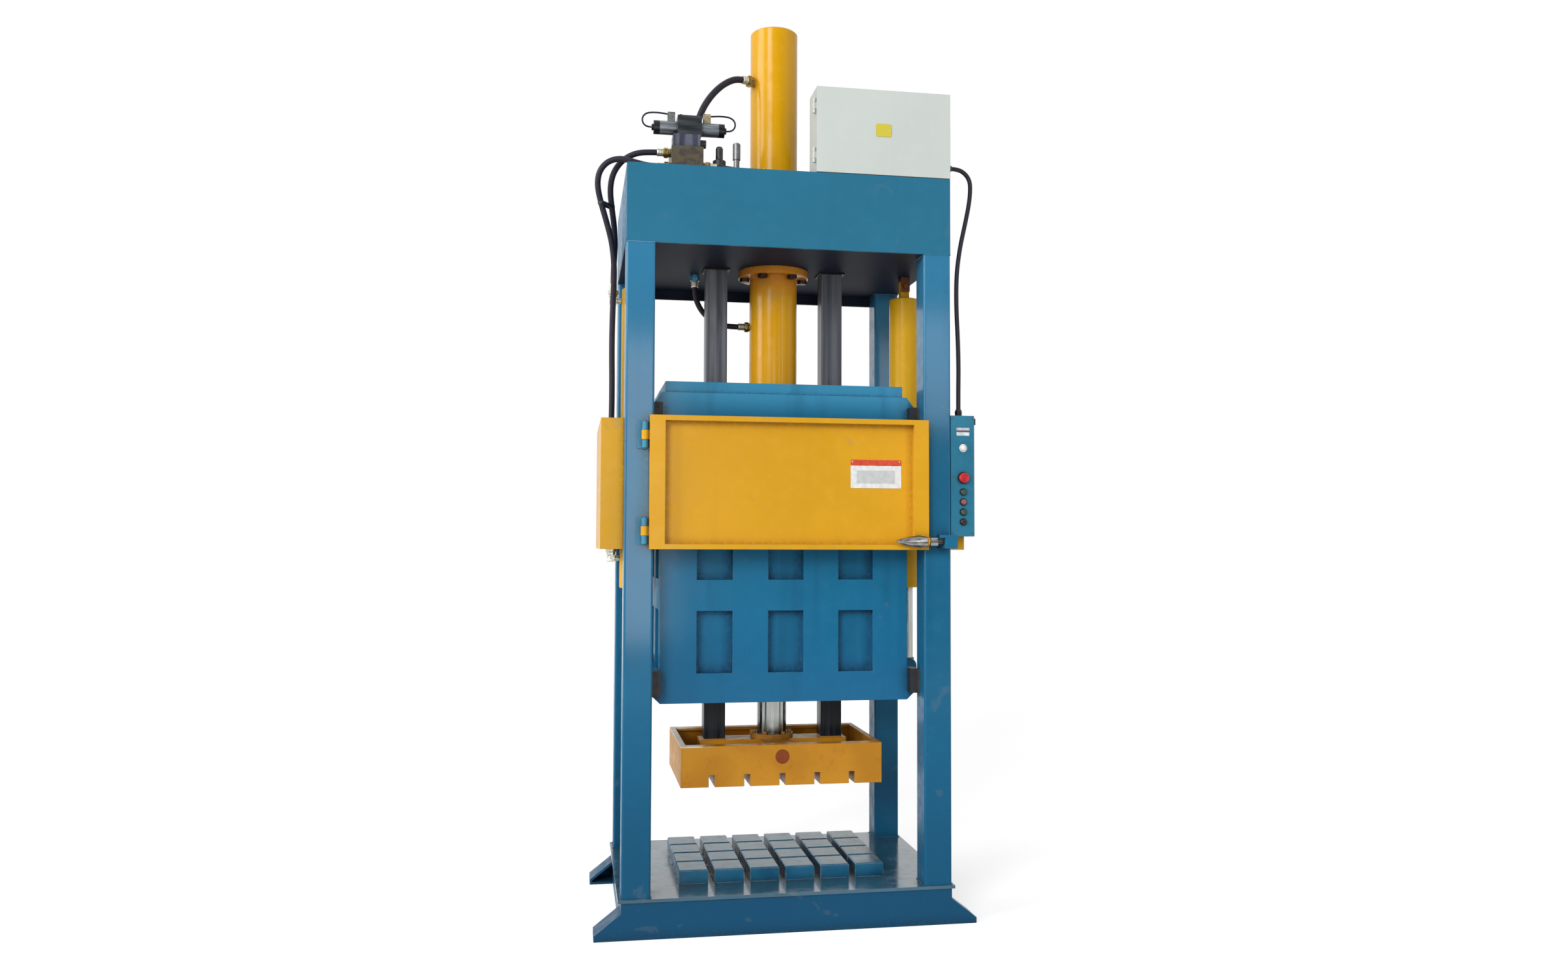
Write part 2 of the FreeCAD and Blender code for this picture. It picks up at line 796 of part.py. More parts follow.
def spider():
    """The cross of box beams inside the tray that carries the rod and the guide bars."""
    floor = platen_bottom + strap_slot_height + platen_floor
    inner_depth = platen_depth / 2 - platen_end_wall
    half, wall = spider_half_width, spider_wall
    long_beam = box(-spider_reach, spider_reach, -half, half, floor, spider_top)
    cross_beam = box(-half, half, -inner_depth, inner_depth, floor, spider_top)
    hollow = [box(-spider_reach, spider_reach, -half + wall, half - wall, floor, spider_top - wall),
              box(-half + wall, half - wall, -inner_depth, inner_depth, floor, spider_top - wall)]
    near = rod_radius + pin_plate_gap
    pin_plate = box(-half + wall, half - wall, near, near + wall, floor, spider_top - wall)
    pin_hole = rod_along((0, -inner_depth, platen_pin_height), (0, 1, 0), platen_pin_radius + seat_gap,
                         2 * inner_depth)
    beams = long_beam.fuse(cross_beam).cut(hollow)
    return fused([beams, pin_plate, mirror_y(pin_plate)]).cut(pin_hole)


def platen():
    """An open tray with strap slots across its pressing face and a cross of box beams inside."""
    half_x, half_y = platen_width / 2, platen_depth / 2
    floor = platen_bottom + strap_slot_height + platen_floor
    tray = box(-half_x, half_x, -half_y, half_y, platen_bottom, rim_top)
    inner_x, inner_y = half_x - platen_side_wall, half_y - platen_end_wall
    tray = tray.cut(box(-inner_x, inner_x, -inner_y, inner_y, floor, rim_top))
    lip = box(-inner_x, inner_x, -inner_y, -half_y + platen_lip_width,
              rim_top - platen_lip_thickness, rim_top)
    tray = fused([tray, lip, mirror_y(lip), spider()])
    slots = [box(x - strap_slot_width / 2, x + strap_slot_width / 2, -half_y, half_y,
                 platen_bottom, platen_bottom + strap_slot_height)
             for x in spread(strap_count, column_pitch)]
    rod_hole = rod_along((0, 0, spider_top - spider_wall), (0, 0, 1), rod_radius + seat_gap, spider_wall)
    pin_hole = rod_along((0, -half_y, platen_pin_height), (0, 1, 0), platen_pin_radius + seat_gap,
                         platen_end_wall)
    return tray.cut(slots + [rod_hole, pin_hole])


def platen_pin():
    start = -platen_depth / 2
    return rod_along((0, start, platen_pin_height), (0, 1, 0), platen_pin_radius, platen_pin_end - start)


def rod_collar():
    """The bolted clamp ring round the foot of the rod."""
    ring = ring_along((0, 0, spider_top), (0, 0, 1), collar_radius, rod_radius + seat_gap, collar_thickness)
    heads = []
    for index in range(collar_bolt_count):
        x, y = around(collar_bolt_circle, 360.0 / collar_bolt_count * index)
        heads.append(rod_along((x, y, spider_top), (0, 0, 1), collar_bolt_radius,
                               collar_thickness + collar_bolt_height))
    return fused([ring] + heads)


def guide_bar():
    return square_tube(guide_offset, 0, guide_size, guide_wall, guide_corner, spider_top, guide_top)


# ---------------------------------------------------------------- lifting chamber

def chamber_shell():
    """Four welded liner plates with a stiffening rim round the top."""
    inner_x, inner_y = chamber_inner_width / 2, chamber_inner_depth / 2
    rim_x = chamber_outer_width / 2 - chamber_rim_step
    rim_y = chamber_outer_depth / 2 - chamber_rim_step
    liner = box(-shell_half_x, shell_half_x, -shell_half_y, shell_half_y, chamber_bottom, chamber_top)
    rim = box(-rim_x, rim_x, -rim_y, rim_y, chamber_frame_top, chamber_top)
    hollow_x, hollow_y = rim_x - chamber_plate, rim_y - chamber_plate
    rim_hollow = box(-hollow_x, hollow_x, -hollow_y, hollow_y, chamber_frame_top, chamber_top - chamber_plate)
    inside = box(-inner_x, inner_x, -inner_y, inner_y, chamber_bottom, chamber_top)
    return rim.cut(rim_hollow).fuse(liner).cut(inside).removeSplitter()


def window_places(columns, pitch):
    """The middle x and the bottom z of each window of a ribbed frame."""
    return [(x, chamber_bottom + window_first_bottom + row * window_row_pitch)
            for x in spread(columns, pitch) for row in range(window_rows)]


def ribbed_frame(half, depth, columns, width, pitch):
    """A folded-plate grid with open windows, lying on its back at y = 0 and facing -Y."""
    wall = chamber_plate
    outer = box(-half, half, -depth, 0, chamber_bottom, chamber_frame_top)
    hollow = box(-half + wall, half - wall, -depth + wall, 0, chamber_bottom + wall, chamber_frame_top - wall)
    collars, windows = [], []
    for x, z in window_places(columns, pitch):
        left, right, top = x - width / 2, x + width / 2, z + window_height
        collars.append(box(left - wall, right + wall, -depth, 0, z - wall, top + wall))
        windows.append(box(left, right, -depth, 0, z, top))
    return outer.cut(hollow.cut(collars)).cut(windows)


def shoe_bottoms():
    return (chamber_bottom + shoe_rise, chamber_frame_top - shoe_top_drop - shoe_height)


def chamber_front_frame():
    """The front grid, with a wedge above or below each guide shoe."""
    half = chamber_outer_width / 2
    depth = chamber_outer_depth / 2 - shell_half_y
    frame = ribbed_frame(half, depth, window_columns, window_width, window_column_pitch)
    low, high = shoe_bottoms()
    reach, root = half_width - post_size - slide_gap - wedge_gap, half - wedge_root
    low_wedge = prism_y([(root, chamber_bottom), (half, chamber_bottom), (reach, low), (root, low)],
                        -depth, 0)
    high_wedge = prism_y([(root, high + shoe_height), (reach, high + shoe_height), (half, chamber_frame_top),
                          (root, chamber_frame_top)], -depth, 0)
    frame = fused([frame, low_wedge, mirror_x(low_wedge), high_wedge, mirror_x(high_wedge)])
    return frame.translated(Vector(0, -shell_half_y, 0))


def chamber_side_frame():
    """The right-hand grid, with the two lugs that the lift rod is pinned to."""
    depth = chamber_outer_width / 2 - shell_half_x
    half = shell_half_y
    frame = ribbed_frame(half, depth, side_window_columns, side_window_width, side_window_pitch)
    frame.rotate(Vector(0, 0, 0), Vector(0, 0, 1), 90)
    frame = frame.translated(Vector(shell_half_x, 0, 0))
    outer = chamber_outer_width / 2
    inner_face = lift_eye_thickness / 2 + slide_gap
    outer_face = inner_face + chamber_lug_thickness
    lug = box(outer - chamber_plate, lift_offset + chamber_lug_reach, inner_face, outer_face,
              lift_eye_height - chamber_lug_half, lift_eye_height + chamber_lug_half)
    corners = [edge for edge in lug.Edges
               if edge.BoundBox.XMin > lift_offset and edge.BoundBox.YLength > chamber_lug_thickness - 1e-3]
    lug = lug.makeFillet(chamber_lug_corner, corners)
    pin_hole = rod_along((lift_offset, -outer_face, lift_eye_height), (0, 1, 0), lift_pin_radius + seat_gap,
                         2 * outer_face)
    return fused([frame, lug, mirror_y(lug)]).cut(pin_hole)


def guide_shoes():
    """Low-friction blocks that run on the inner faces of the four posts."""
    x0, x1 = chamber_outer_width / 2, half_width - post_size - slide_gap
    y0, y1 = front + shoe_setback, -shell_half_y
    shoes = []
    for z0 in shoe_bottoms():
        shoe = box(x0, x1, y0, y1, z0, z0 + shoe_height)
        outer_edges = [edge for edge in shoe.Edges
                       if edge.BoundBox.XMin > x1 - 1e-3 and edge.BoundBox.YLength > y1 - y0 - 1e-3]
        shoe = shoe.makeChamfer(shoe_corner, outer_edges)
        for place in (shoe, mirror_x(shoe)):
            shoes += [place, mirror_y(place)]
    return group(shoes)


def lift_rod():
    """One turned rod with its piston, and a flat eye at its foot."""
    eye_top = lift_eye_height + lift_eye_rise
    piston_upper = lift_piston_bottom + lift_piston_length
    radius = lift_bore_radius - running_gap
    rod = turned([(0, eye_top), (lift_rod_radius, eye_top), (lift_rod_radius, lift_piston_bottom),
                  (radius, lift_piston_bottom), (radius, piston_upper), (0, piston_upper)], lift_offset, 0)
    half = lift_eye_thickness / 2
    eye = box(lift_offset - lift_eye_width / 2, lift_offset + lift_eye_width / 2, -half, half,
              lift_eye_height, eye_top)
    round_end = rod_along((lift_offset, -half, lift_eye_height), (0, 1, 0), lift_eye_width / 2, 2 * half)
    hole = rod_along((lift_offset, -half, lift_eye_height), (0, 1, 0), lift_pin_radius + seat_gap, 2 * half)
    return fused([rod, eye, round_end]).cut(hole)


def lift_rod_pin():
    half = lift_eye_thickness / 2 + slide_gap + chamber_lug_thickness + 8
    return rod_along((lift_offset, -half, lift_eye_height), (0, 1, 0), lift_pin_radius, 2 * half)


def lift_cylinder():
    """The barrel, closed at the top with a lug and at the bottom with its gland."""
    gland_hole = lift_rod_radius + running_gap
    gland_top = lift_barrel_bottom + lift_gland
    body = turned([(gland_hole, lift_barrel_bottom), (lift_barrel_radius - 4, lift_barrel_bottom),
                   (lift_barrel_radius, lift_barrel_bottom + 4), (lift_barrel_radius, lift_barrel_top - 4),
                   (lift_barrel_radius - 4, lift_barrel_top), (0, lift_barrel_top),
                   (0, lift_barrel_top - lift_cap), (lift_bore_radius, lift_barrel_top - lift_cap),
                   (lift_bore_radius, gland_top), (gland_hole, gland_top)], lift_offset, 0)
    lug = box(lift_offset - lug_width / 2, lift_offset + lug_width / 2, -lug_thickness / 2, lug_thickness / 2,
              lift_barrel_top - 1, lift_barrel_top + lug_height)
    hole = rod_along((lift_offset, -lug_thickness, crosshead_bottom - lug_pin_drop), (0, 1, 0),
                     lug_pin_radius + seat_gap, 2 * lug_thickness)
    return fused([body, lug]).cut(hole)


def lift_clevis():
    """The two cheeks under the crosshead, with the pin that the lift cylinder hangs from."""
    inner = lug_thickness / 2 + slide_gap
    cheek = box(lift_offset - lug_width / 2, lift_offset + lug_width / 2, inner, inner + cheek_thickness,
                crosshead_bottom - cheek_height, crosshead_bottom)
    half = inner + cheek_thickness
    pin = rod_along((lift_offset, -half - 6, crosshead_bottom - lug_pin_drop), (0, 1, 0), lug_pin_radius,
                    2 * half + 12)
    return fused([cheek, mirror_y(cheek), pin])


# ---------------------------------------------------------------- panels and feed door

def side_panel():
    """A folded sheet pan outside the right-hand posts."""
    x0, x1 = half_width, half_width + side_panel_reach
    y = half_depth - side_panel_setback
    z0, z1 = panel_bottom, panel_bottom + panel_height
    pan = box(x0, x1, -y, y, z0, z1)
    hollow = box(x0, x1 - panel_sheet, -y + panel_sheet, y - panel_sheet, z0 + panel_sheet, z1 - panel_sheet)
    edge = x1 - side_panel_return
    open_ends = [box(x0, edge, -y + panel_sheet, y - panel_sheet, z0, z0 + panel_sheet),
                 box(x0, edge, -y + panel_sheet, y - panel_sheet, z1 - panel_sheet, z1)]
    return pan.cut([hollow] + open_ends)


def rear_panel():
    """A sheet with its four edges folded back, fixed to the rear posts."""
    half = rear_panel_width / 2
    z0, z1 = panel_bottom, panel_bottom + panel_height
    pan = box(-half, half, half_depth, half_depth + rear_panel_fold, z0, z1)
    return pan.cut(box(-half + panel_sheet, half - panel_sheet, half_depth + panel_sheet,
                       half_depth + rear_panel_fold, z0 + panel_sheet, z1 - panel_sheet))


def door():
    """A folded sheet door: a sunk middle sheet, box borders, two hinge knuckles and the latch bearing."""
    x0, x1 = door_left, door_right
    y0, y1 = door_front, door_front + door_thickness
    z0, z1 = panel_bottom, panel_bottom + panel_height
    sheet = panel_sheet
    slab = box(x0, x1, y0, y1, z0, z1)
    recess = box(x0 + door_side_border, x1 - door_side_border, y0, y1 - sheet,
                 z0 + door_top_border, z1 - door_top_border)
    pockets = []
    for left, right in ((x0, x0 + door_side_border), (x1 - door_side_border, x1)):
        pockets.append(box(left + sheet, right - sheet, y0 + sheet, y1, z0 + sheet, z1 - sheet))
    for low, high in ((z0, z0 + door_top_border), (z1 - door_top_border, z1)):
        pockets.append(box(x0 + door_side_border, x1 - door_side_border, y0 + sheet, y1,
                           low + sheet, high - sheet))
    pieces = [slab.cut([recess] + pockets)]
    holes = []
    for z in hinge_heights:
        knuckle = rod_along((hinge_x, hinge_y, z - hinge_knuckle_half), (0, 0, 1), hinge_knuckle_radius,
                            2 * hinge_knuckle_half)
        arm = box(hinge_x, x0 + sheet, hinge_y - hinge_arm_half, hinge_y + hinge_arm_half,
                  z - hinge_knuckle_half, z + hinge_knuckle_half)
        pieces += [knuckle, arm]
        holes.append(rod_along((hinge_x, hinge_y, z - hinge_knuckle_half), (0, 0, 1),
                               hinge_pin_radius + running_gap, 2 * hinge_knuckle_half))
    bearing_start = latch_grip_end_x + latch_gap
    bearing_end = bearing_start + latch_bearing_thickness
    block = box(bearing_start, bearing_end, latch_y, door_front, latch_height - latch_bearing_half,
                latch_height + latch_bearing_half)
    eye = rod_along((bearing_start, latch_y, latch_height), (1, 0, 0), latch_bearing_half,
                    latch_bearing_thickness)
    pieces += [block, eye]
    holes.append(rod_along((bearing_start, latch_y, latch_height), (1, 0, 0),
                           latch_shaft_radius + running_gap, latch_bearing_thickness))
    return fused(pieces).cut(holes)


def hinge_bracket(z):
    """A plate on the post with a lug above and below the door's knuckle, and the pin through them."""
    plate_right = hinge_x + hinge_plate_over
    plate = box(plate_right - hinge_plate_width, plate_right, front - hinge_plate, front,
                z - hinge_lug_half - 2, z + hinge_lug_half + 2)
    pieces = [plate]
    gap_edge = hinge_knuckle_half + slide_gap
    for z0, z1 in ((z - hinge_lug_half, z - gap_edge), (z + gap_edge, z + hinge_lug_half)):
        pieces.append(rod_along((hinge_x, hinge_y, z0), (0, 0, 1), hinge_lug_radius, z1 - z0))
        pieces.append(box(hinge_x - hinge_web_half, hinge_x + hinge_web_half, hinge_y, front - hinge_plate,
                          z0, z1))
    pin_half = hinge_lug_half + hinge_pin_end
    pieces.append(rod_along((hinge_x, hinge_y, z - pin_half), (0, 0, 1), hinge_pin_radius, 2 * pin_half))
    return fused(pieces)


def latch_handle():
    """A tapered grip, its shaft and collar, and the dog that turns up behind the keeper's lip."""
    shaft, stub = latch_shaft_radius, latch_stub_radius
    belly_x = latch_grip_end_x - latch_shoulder
    profile = [(0, latch_tip_x), (5, latch_tip_x), (16, latch_tip_x + latch_nose),
               (latch_grip_radius, belly_x), (latch_grip_radius - 6, latch_grip_end_x),
               (shaft, latch_grip_end_x), (shaft, latch_collar_start_x),
               (latch_collar_radius, latch_collar_start_x), (latch_collar_radius, latch_collar_end_x),
               (stub, latch_collar_end_x), (stub, dog_end_x), (0, dog_end_x)]
    dog = box(latch_collar_end_x + latch_gap, dog_end_x, latch_y - dog_length, latch_y,
              latch_height - dog_half, latch_height + dog_half)
    return fused([turned_on_x(profile, latch_y, latch_height), dog])


def latch_keeper():
    """A welded channel on the right-hand post with a lip in front of the locked dog."""
    far = front - keeper_reach
    body = box(keeper_start_x, keeper_end_x, far, front, keeper_bottom, keeper_top)
    hollow = box(keeper_start_x + keeper_wall, keeper_end_x - keeper_wall, far + keeper_wall, front,
                 keeper_bottom, keeper_top - keeper_wall)
    lip = box(latch_collar_end_x + latch_gap, keeper_start_x, far, latch_y - keeper_lip_clear,
              latch_height + keeper_lip_rise, keeper_top)
    return fused([body.cut(hollow), lip])


# ---------------------------------------------------------------- electrical cabinet and control box

def cabinet_hinge_line():
    return cabinet_left - cabinet_hinge_reach, front + cabinet_door_depth


def cabinet_body():
    """A sheet box on the crosshead, open to the front, with two fixed hinge knuckles a side."""
    y0 = front + cabinet_door_depth + cabinet_door_gap
    z0, z1 = crosshead_top, crosshead_top + cabinet_height
    sheet = cabinet_sheet
    shell = box(cabinet_left, cabinet_right, y0, cabinet_back, z0, z1)
    shell = shell.cut(box(cabinet_left + sheet, cabinet_right - sheet, y0, cabinet_back - sheet,
                          z0 + sheet, z1 - sheet))
    axis_x, axis_y = cabinet_hinge_line()
    pieces = [shell]
    for rise in cabinet_hinge_heights:
        z = crosshead_top + rise
        gap_edge = cabinet_knuckle_half + slide_gap
        for z_low in (z - gap_edge - cabinet_lug_height, z + gap_edge):
            lug = rod_along((axis_x, axis_y, z_low), (0, 0, 1), cabinet_knuckle_radius, cabinet_lug_height)
            web = box(axis_x, cabinet_left, y0, y0 + cabinet_lug_web, z_low, z_low + cabinet_lug_height)
            pieces += [lug, web]
        pin_half = gap_edge + cabinet_lug_height / 2
        pieces.append(rod_along((axis_x, axis_y, z - pin_half), (0, 0, 1), cabinet_pin_radius, 2 * pin_half))
    gland_start = (cabinet_right - sheet, front + cable_gland_setback, crosshead_top + cable_gland_rise)
    pieces.append(rod_along(gland_start, (1, 0, 0), control_cable_diameter / 2 + 5, gland_reach + sheet))
    return fused(pieces)


def cabinet_door():
    """A shallow pan hinged on its left edge."""
    z0, z1 = crosshead_top + 3, crosshead_top + cabinet_height
    sheet = cabinet_sheet
    y1 = front + cabinet_door_depth
    pan = box(cabinet_left, cabinet_right, front, y1, z0, z1)
    pan = pan.cut(box(cabinet_left + sheet, cabinet_right - sheet, front + sheet, y1, z0 + sheet, z1 - sheet))
    axis_x, axis_y = cabinet_hinge_line()
    pieces, holes = [pan], []
    for rise in cabinet_hinge_heights:
        z = crosshead_top + rise
        low, length = z - cabinet_knuckle_half, 2 * cabinet_knuckle_half
        pieces.append(rod_along((axis_x, axis_y, low), (0, 0, 1), cabinet_knuckle_radius, length))
        pieces.append(box(axis_x, cabinet_left + sheet, axis_y - 5, axis_y, low, low + length))
        holes.append(rod_along((axis_x, axis_y, low), (0, 0, 1), cabinet_pin_radius + running_gap, length))
    return fused(pieces).cut(holes)


def control_box():
    """A tall sheet box on the right-hand post, with a bezel round each button."""
    sheet = control_sheet
    y1 = front + control_depth
    shell = box(half_width, control_right, front, y1, control_bottom, control_top)
    shell = shell.cut(box(half_width + sheet, control_right - sheet, front + sheet, y1 - sheet,
                          control_bottom + sheet, control_top - sheet))
    pieces, holes = [shell], []
    fronts = [(z, button_radius, button_stem_radius) for z in button_heights]
    fronts.append((stop_height, stop_radius, button_stem_radius))
    for z, radius, stem in fronts:
        centre = (control_column_x, front - bezel_height, z)
        inner = radius + slide_gap
        pieces.append(ring_along(centre, (0, 1, 0), inner + bezel_wall, inner, bezel_height))
        holes.append(rod_along(centre, (0, 1, 0), stem + slide_gap, bezel_height + sheet))
    knob_centre = (control_right - sheet, front + knob_setback, knob_height)
    holes.append(rod_along(knob_centre, (1, 0, 0), button_stem_radius + running_gap, sheet))
    lamp_centre = (control_column_x, front, lamp_height)
    holes.append(rod_along(lamp_centre, (0, 1, 0), lamp_radius - lamp_ring, sheet))
    x, y = control_gland_place()
    pieces.append(rod_along((x, y, control_top - sheet), (0, 0, 1), control_cable_diameter / 2 + 5,
                            gland_reach + sheet))
    return fused(pieces).cut(holes)


def push_button(z, radius, cap, travel):
    """A round cap in front of the panel, on a stem that goes through it."""
    face_y = front - travel - slide_gap
    head = rod_along((control_column_x, face_y - cap, z), (0, 1, 0), radius, cap)
    rim = [edge for edge in head.Edges if edge.BoundBox.YMax < face_y - cap + 1e-3]
    head = head.makeChamfer(button_edge, rim)
    stem = rod_along((control_column_x, face_y - cap / 2, z), (0, 1, 0), button_stem_radius,
                     cap / 2 + travel + button_stem_length)
    return fused([head, stem])


def indicator_lamp():
    """A domed lens on a bezel ring."""
    x, z = control_column_x, lamp_height
    face = front - lamp_ring_depth
    ring = rod_along((x, face, z), (0, 1, 0), lamp_radius + lamp_ring, lamp_ring_depth)
    plug = rod_along((x, front, z), (0, 1, 0), lamp_radius - lamp_ring - seat_gap, control_sheet + 10)
    dome = Part.makeSphere(lamp_radius, Vector(x, face, z))
    dome = dome.cut(box(x - lamp_radius, x + lamp_radius, face, face + lamp_radius,
                        z - lamp_radius, z + lamp_radius))
    return fused([ring, plug, dome])


def selector_knob():
    """A rotary knob on the right side of the control box, with a pointer bar."""
    y, z = front + knob_setback, knob_height
    start = control_right + slide_gap
    stem = rod_along((control_right - 20, y, z), (1, 0, 0), button_stem_radius, 20 + slide_gap + 2)
    skirt = rod_along((start, y, z), (1, 0, 0), knob_radius, knob_length * 0.5)
    bar = box(start, start + knob_length, y - 4, y + 4, z - knob_radius + 1, z + knob_radius - 1)
    return fused([stem, skirt, bar])


# ---------------------------------------------------------------- valve stack, motor and pump

def valve_manifold():
    return box(manifold_left(), manifold_right(), valve_y - manifold_front, valve_y + manifold_back,
               crosshead_top, manifold_top)


def manifold_left():
    return valve_x + manifold_shift - manifold_width / 2


def manifold_right():
    return valve_x + manifold_shift + manifold_width / 2


def relief_valve():
    """The sandwich plate under the spool valve, with the cartridge that the knob turns on."""
    middle = valve_x + sandwich_shift
    half = valve_depth / 2
    body = box(middle - sandwich_width / 2, middle + sandwich_width / 2, valve_y - half, valve_y + half,
               manifold_top, sandwich_top)
    cartridge = rod_along((middle + sandwich_width / 2, valve_y, relief_axis_height()), (1, 0, 0),
                          cartridge_radius, cartridge_length)
    return fused([body, cartridge])


def relief_axis_height():
    return (manifold_top + sandwich_top) / 2


def relief_knob():
    """A hand knob, bored to turn on the end of the cartridge."""
    start = valve_x + sandwich_shift + sandwich_width / 2 + relief_knob_start
    z = relief_axis_height()
    knob = rod_along((start, valve_y, z), (1, 0, 0), relief_knob_radius, relief_knob_length)
    cuts = []
    for index in range(relief_knob_flutes):
        y, rise = around(relief_knob_radius, 360.0 / relief_knob_flutes * index)
        cuts.append(rod_along((start, valve_y + y, z + rise), (1, 0, 0), relief_flute_radius,
                              relief_knob_length))
    cuts.append(rod_along((start, valve_y, z), (1, 0, 0), cartridge_radius + running_gap,
                          cartridge_length - relief_knob_start + slide_gap))
    return knob.cut(cuts)


def directional_valve():
    """The spool body with a solenoid coil on each end."""
    half = valve_depth / 2
    x0, x1 = valve_x - spool_body_width / 2, valve_x + spool_body_width / 2
    solids = [box(x0, x1, valve_y - half, valve_y + half, sandwich_top, spool_top)]
    for end, way in ((x0, -1), (x1, 1)):
        coil = rod_along((end, valve_y, coil_height), (way, 0, 0), coil_radius, coil_length)
        nut = rod_along((end, valve_y, coil_height), (way, 0, 0), coil_nut_radius,
                        coil_length + coil_nut_length)
        solids.append(fused([coil, nut]))
    return group(solids)


def solenoid_plugs():
    """A plug on each coil, seated on the coil's round side."""
    solids = []
    base, half = coil_height + coil_radius - plug_seat, plug_size / 2
    for way in (-1, 1):
        coil_start = valve_x + way * spool_body_width / 2
        middle = coil_start + way * plug_inset
        plug = box(middle - half, middle + half, valve_y - half, valve_y + half, base, base + plug_height)
        saddle = rod_along((coil_start, valve_y, coil_height), (way, 0, 0), coil_radius, coil_length)
        solids.append(plug.cut(saddle))
    return group(solids)


def solenoid_leads():
    """A lead from each plug that loops back to the end of its coil."""
    solids = []
    for way in (-1, 1):
        coil_start = valve_x + way * spool_body_width / 2
        start = coil_start + way * (plug_inset + plug_size / 2)
        tip = coil_start + way * (coil_length + coil_nut_length)
        top = coil_height + lead_side * (1 + math.sqrt(2))
        slant = lead_side / math.sqrt(2)
        bend, far = tip + way * 21, tip + way * (21 + slant)
        outline = [(start, top), (start + way * 24, top + 3), (start + way * 55, top + 4), (bend, top),
                   (far, top - slant), (far, coil_height + slant), (bend, coil_height), (tip, coil_height)]
        points = [(x, valve_y, z) for x, z in outline]
        solids.append(cord_tube("solenoid lead", points, lead_diameter))
    return group(solids)


def tank_fittings():
    """The filler breather and the pressure switch that stand on the tank's lid."""
    z = crosshead_top
    top, cap = z + breather_height, z + breather_height - breather_cap
    foot, neck = breather_radius + 8, breather_radius - 4
    breather = turned([(0, z), (foot, z), (foot, z + 8), (neck, z + 8), (neck, cap), (breather_radius, cap),
                       (breather_radius, top - 5), (breather_radius - 5, top), (0, top)], breather_x, valve_y)
    switch = turned([(0, z), (switch_radius + 12, z), (switch_radius + 12, z + 98), (switch_radius, z + 106),
                     (switch_radius, z + switch_height), (switch_radius - 4, z + switch_height + 8),
                     (0, z + switch_height + 8)], switch_x, valve_y)
    return group([breather, switch])


def motor_housing():
    """A finned vertical motor with a fan cowl, hollow for its rotor."""
    z0, z1 = crosshead_top, crosshead_top + motor_height
    cowl_top = z1 + motor_cowl_height
    fin_outer = motor_radius + motor_fin_reach
    body = turned([(shaft_radius + 3, z0), (fin_outer, z0), (fin_outer, z0 + 14), (motor_radius, z0 + 14),
                   (motor_radius, z1), (fin_outer, z1), (fin_outer, cowl_top - 8), (fin_outer - 8, cowl_top),
                   (0, cowl_top), (0, z1 - 20), (rotor_radius + 4, z1 - 20), (rotor_radius + 4, z0 + 30),
                   (shaft_radius + 3, z0 + 30)], motor_x, motor_y)
    fin = box(motor_x + motor_radius - 2, motor_x + fin_outer, motor_y - 2, motor_y + 2, z0 + 10, z1 + 2)
    fins = []
    for index in range(motor_fin_count):
        copy = fin.copy()
        copy.rotate(Vector(motor_x, motor_y, 0), Vector(0, 0, 1), 360.0 / motor_fin_count * index)
        fins.append(copy)
    return fused([body] + fins)


def motor_shaft():
    """The rotor on its shaft, whose end drives the pump."""
    rotor_bottom = crosshead_top + 50
    bottom = crosshead_top - crosshead_top_plate - pump_height / 2
    rotor_top = rotor_bottom + rotor_length
    top = rotor_top + 30
    return turned([(0, bottom), (shaft_radius, bottom), (shaft_radius, rotor_bottom),
                   (rotor_radius, rotor_bottom), (rotor_radius, rotor_top), (shaft_radius, rotor_top),
                   (shaft_radius, top), (0, top)], motor_x, motor_y)


def hydraulic_pump():
    """A gear pump that hangs in the tank under the motor, with its suction pipe."""
    top = crosshead_top - crosshead_top_plate
    bottom = top - pump_height
    hole = shaft_radius + running_gap
    socket = top - pump_height / 2 - 1
    body = turned([(hole, top), (pump_radius, top), (pump_radius, bottom), (0, bottom), (0, socket),
                   (hole, socket)], motor_x, motor_y)
    suction = rod_along((motor_x + 18, motor_y, bottom), (0, 0, -1), suction_radius, suction_length)
    return fused([body, suction])


# ---------------------------------------------------------------- ports, hoses and cables

def control_gland_place():
    return control_column_x - control_gland_shift, front + control_gland_setback


def top_port():
    x, y = around(1.0, top_port_angle)
    reach = barrel_radius + port_boss_reach
    return (x * reach, y * reach, top_port_height), (x, y, 0)


def fitting_places():
    """Each hose end: its port, the way it points and the hose's diameter."""
    left = manifold_left()
    pipe_x, pipe_y = return_pipe_place()
    lift_x = -(lift_offset + lift_barrel_radius + elbow_reach)
    port, way = top_port()
    return {
        "top_at_barrel": (port, way, big_hose),
        "top_at_manifold": ((valve_x + 36, valve_y + 78, manifold_top), (0, 0, 1), big_hose),
        "upper_at_manifold": ((left, valve_y, manifold_top - 17), (-1, 0, 0), small_hose),
        "upper_at_lift": ((lift_x, 0, upper_port_height + elbow_half), (0, 0, 1), small_hose),
        "lower_at_manifold": ((left, valve_y - 32, manifold_top - 85), (-1, 0, 0), small_hose),
        "lower_at_lift": ((lift_x, 0, lower_port_height + elbow_half), (0, 0, 1), small_hose),
        "return_at_crosshead": ((return_hose_x, return_hose_y, crosshead_bottom), (0, 0, -1), small_hose),
        "return_at_barrel": ((pipe_x - elbow_half, pipe_y, return_port_height), (-1, 0, 0), small_hose),
        "pressure_at_manifold": ((manifold_right(), valve_y - 38, manifold_top - 75), (1, 0, 0),
                                 pressure_hose_diameter),
        "pressure_at_pump": ((outlet_x, outlet_y, crosshead_top + outlet_height), (-1, 0, 0),
                             pressure_hose_diameter),
    }


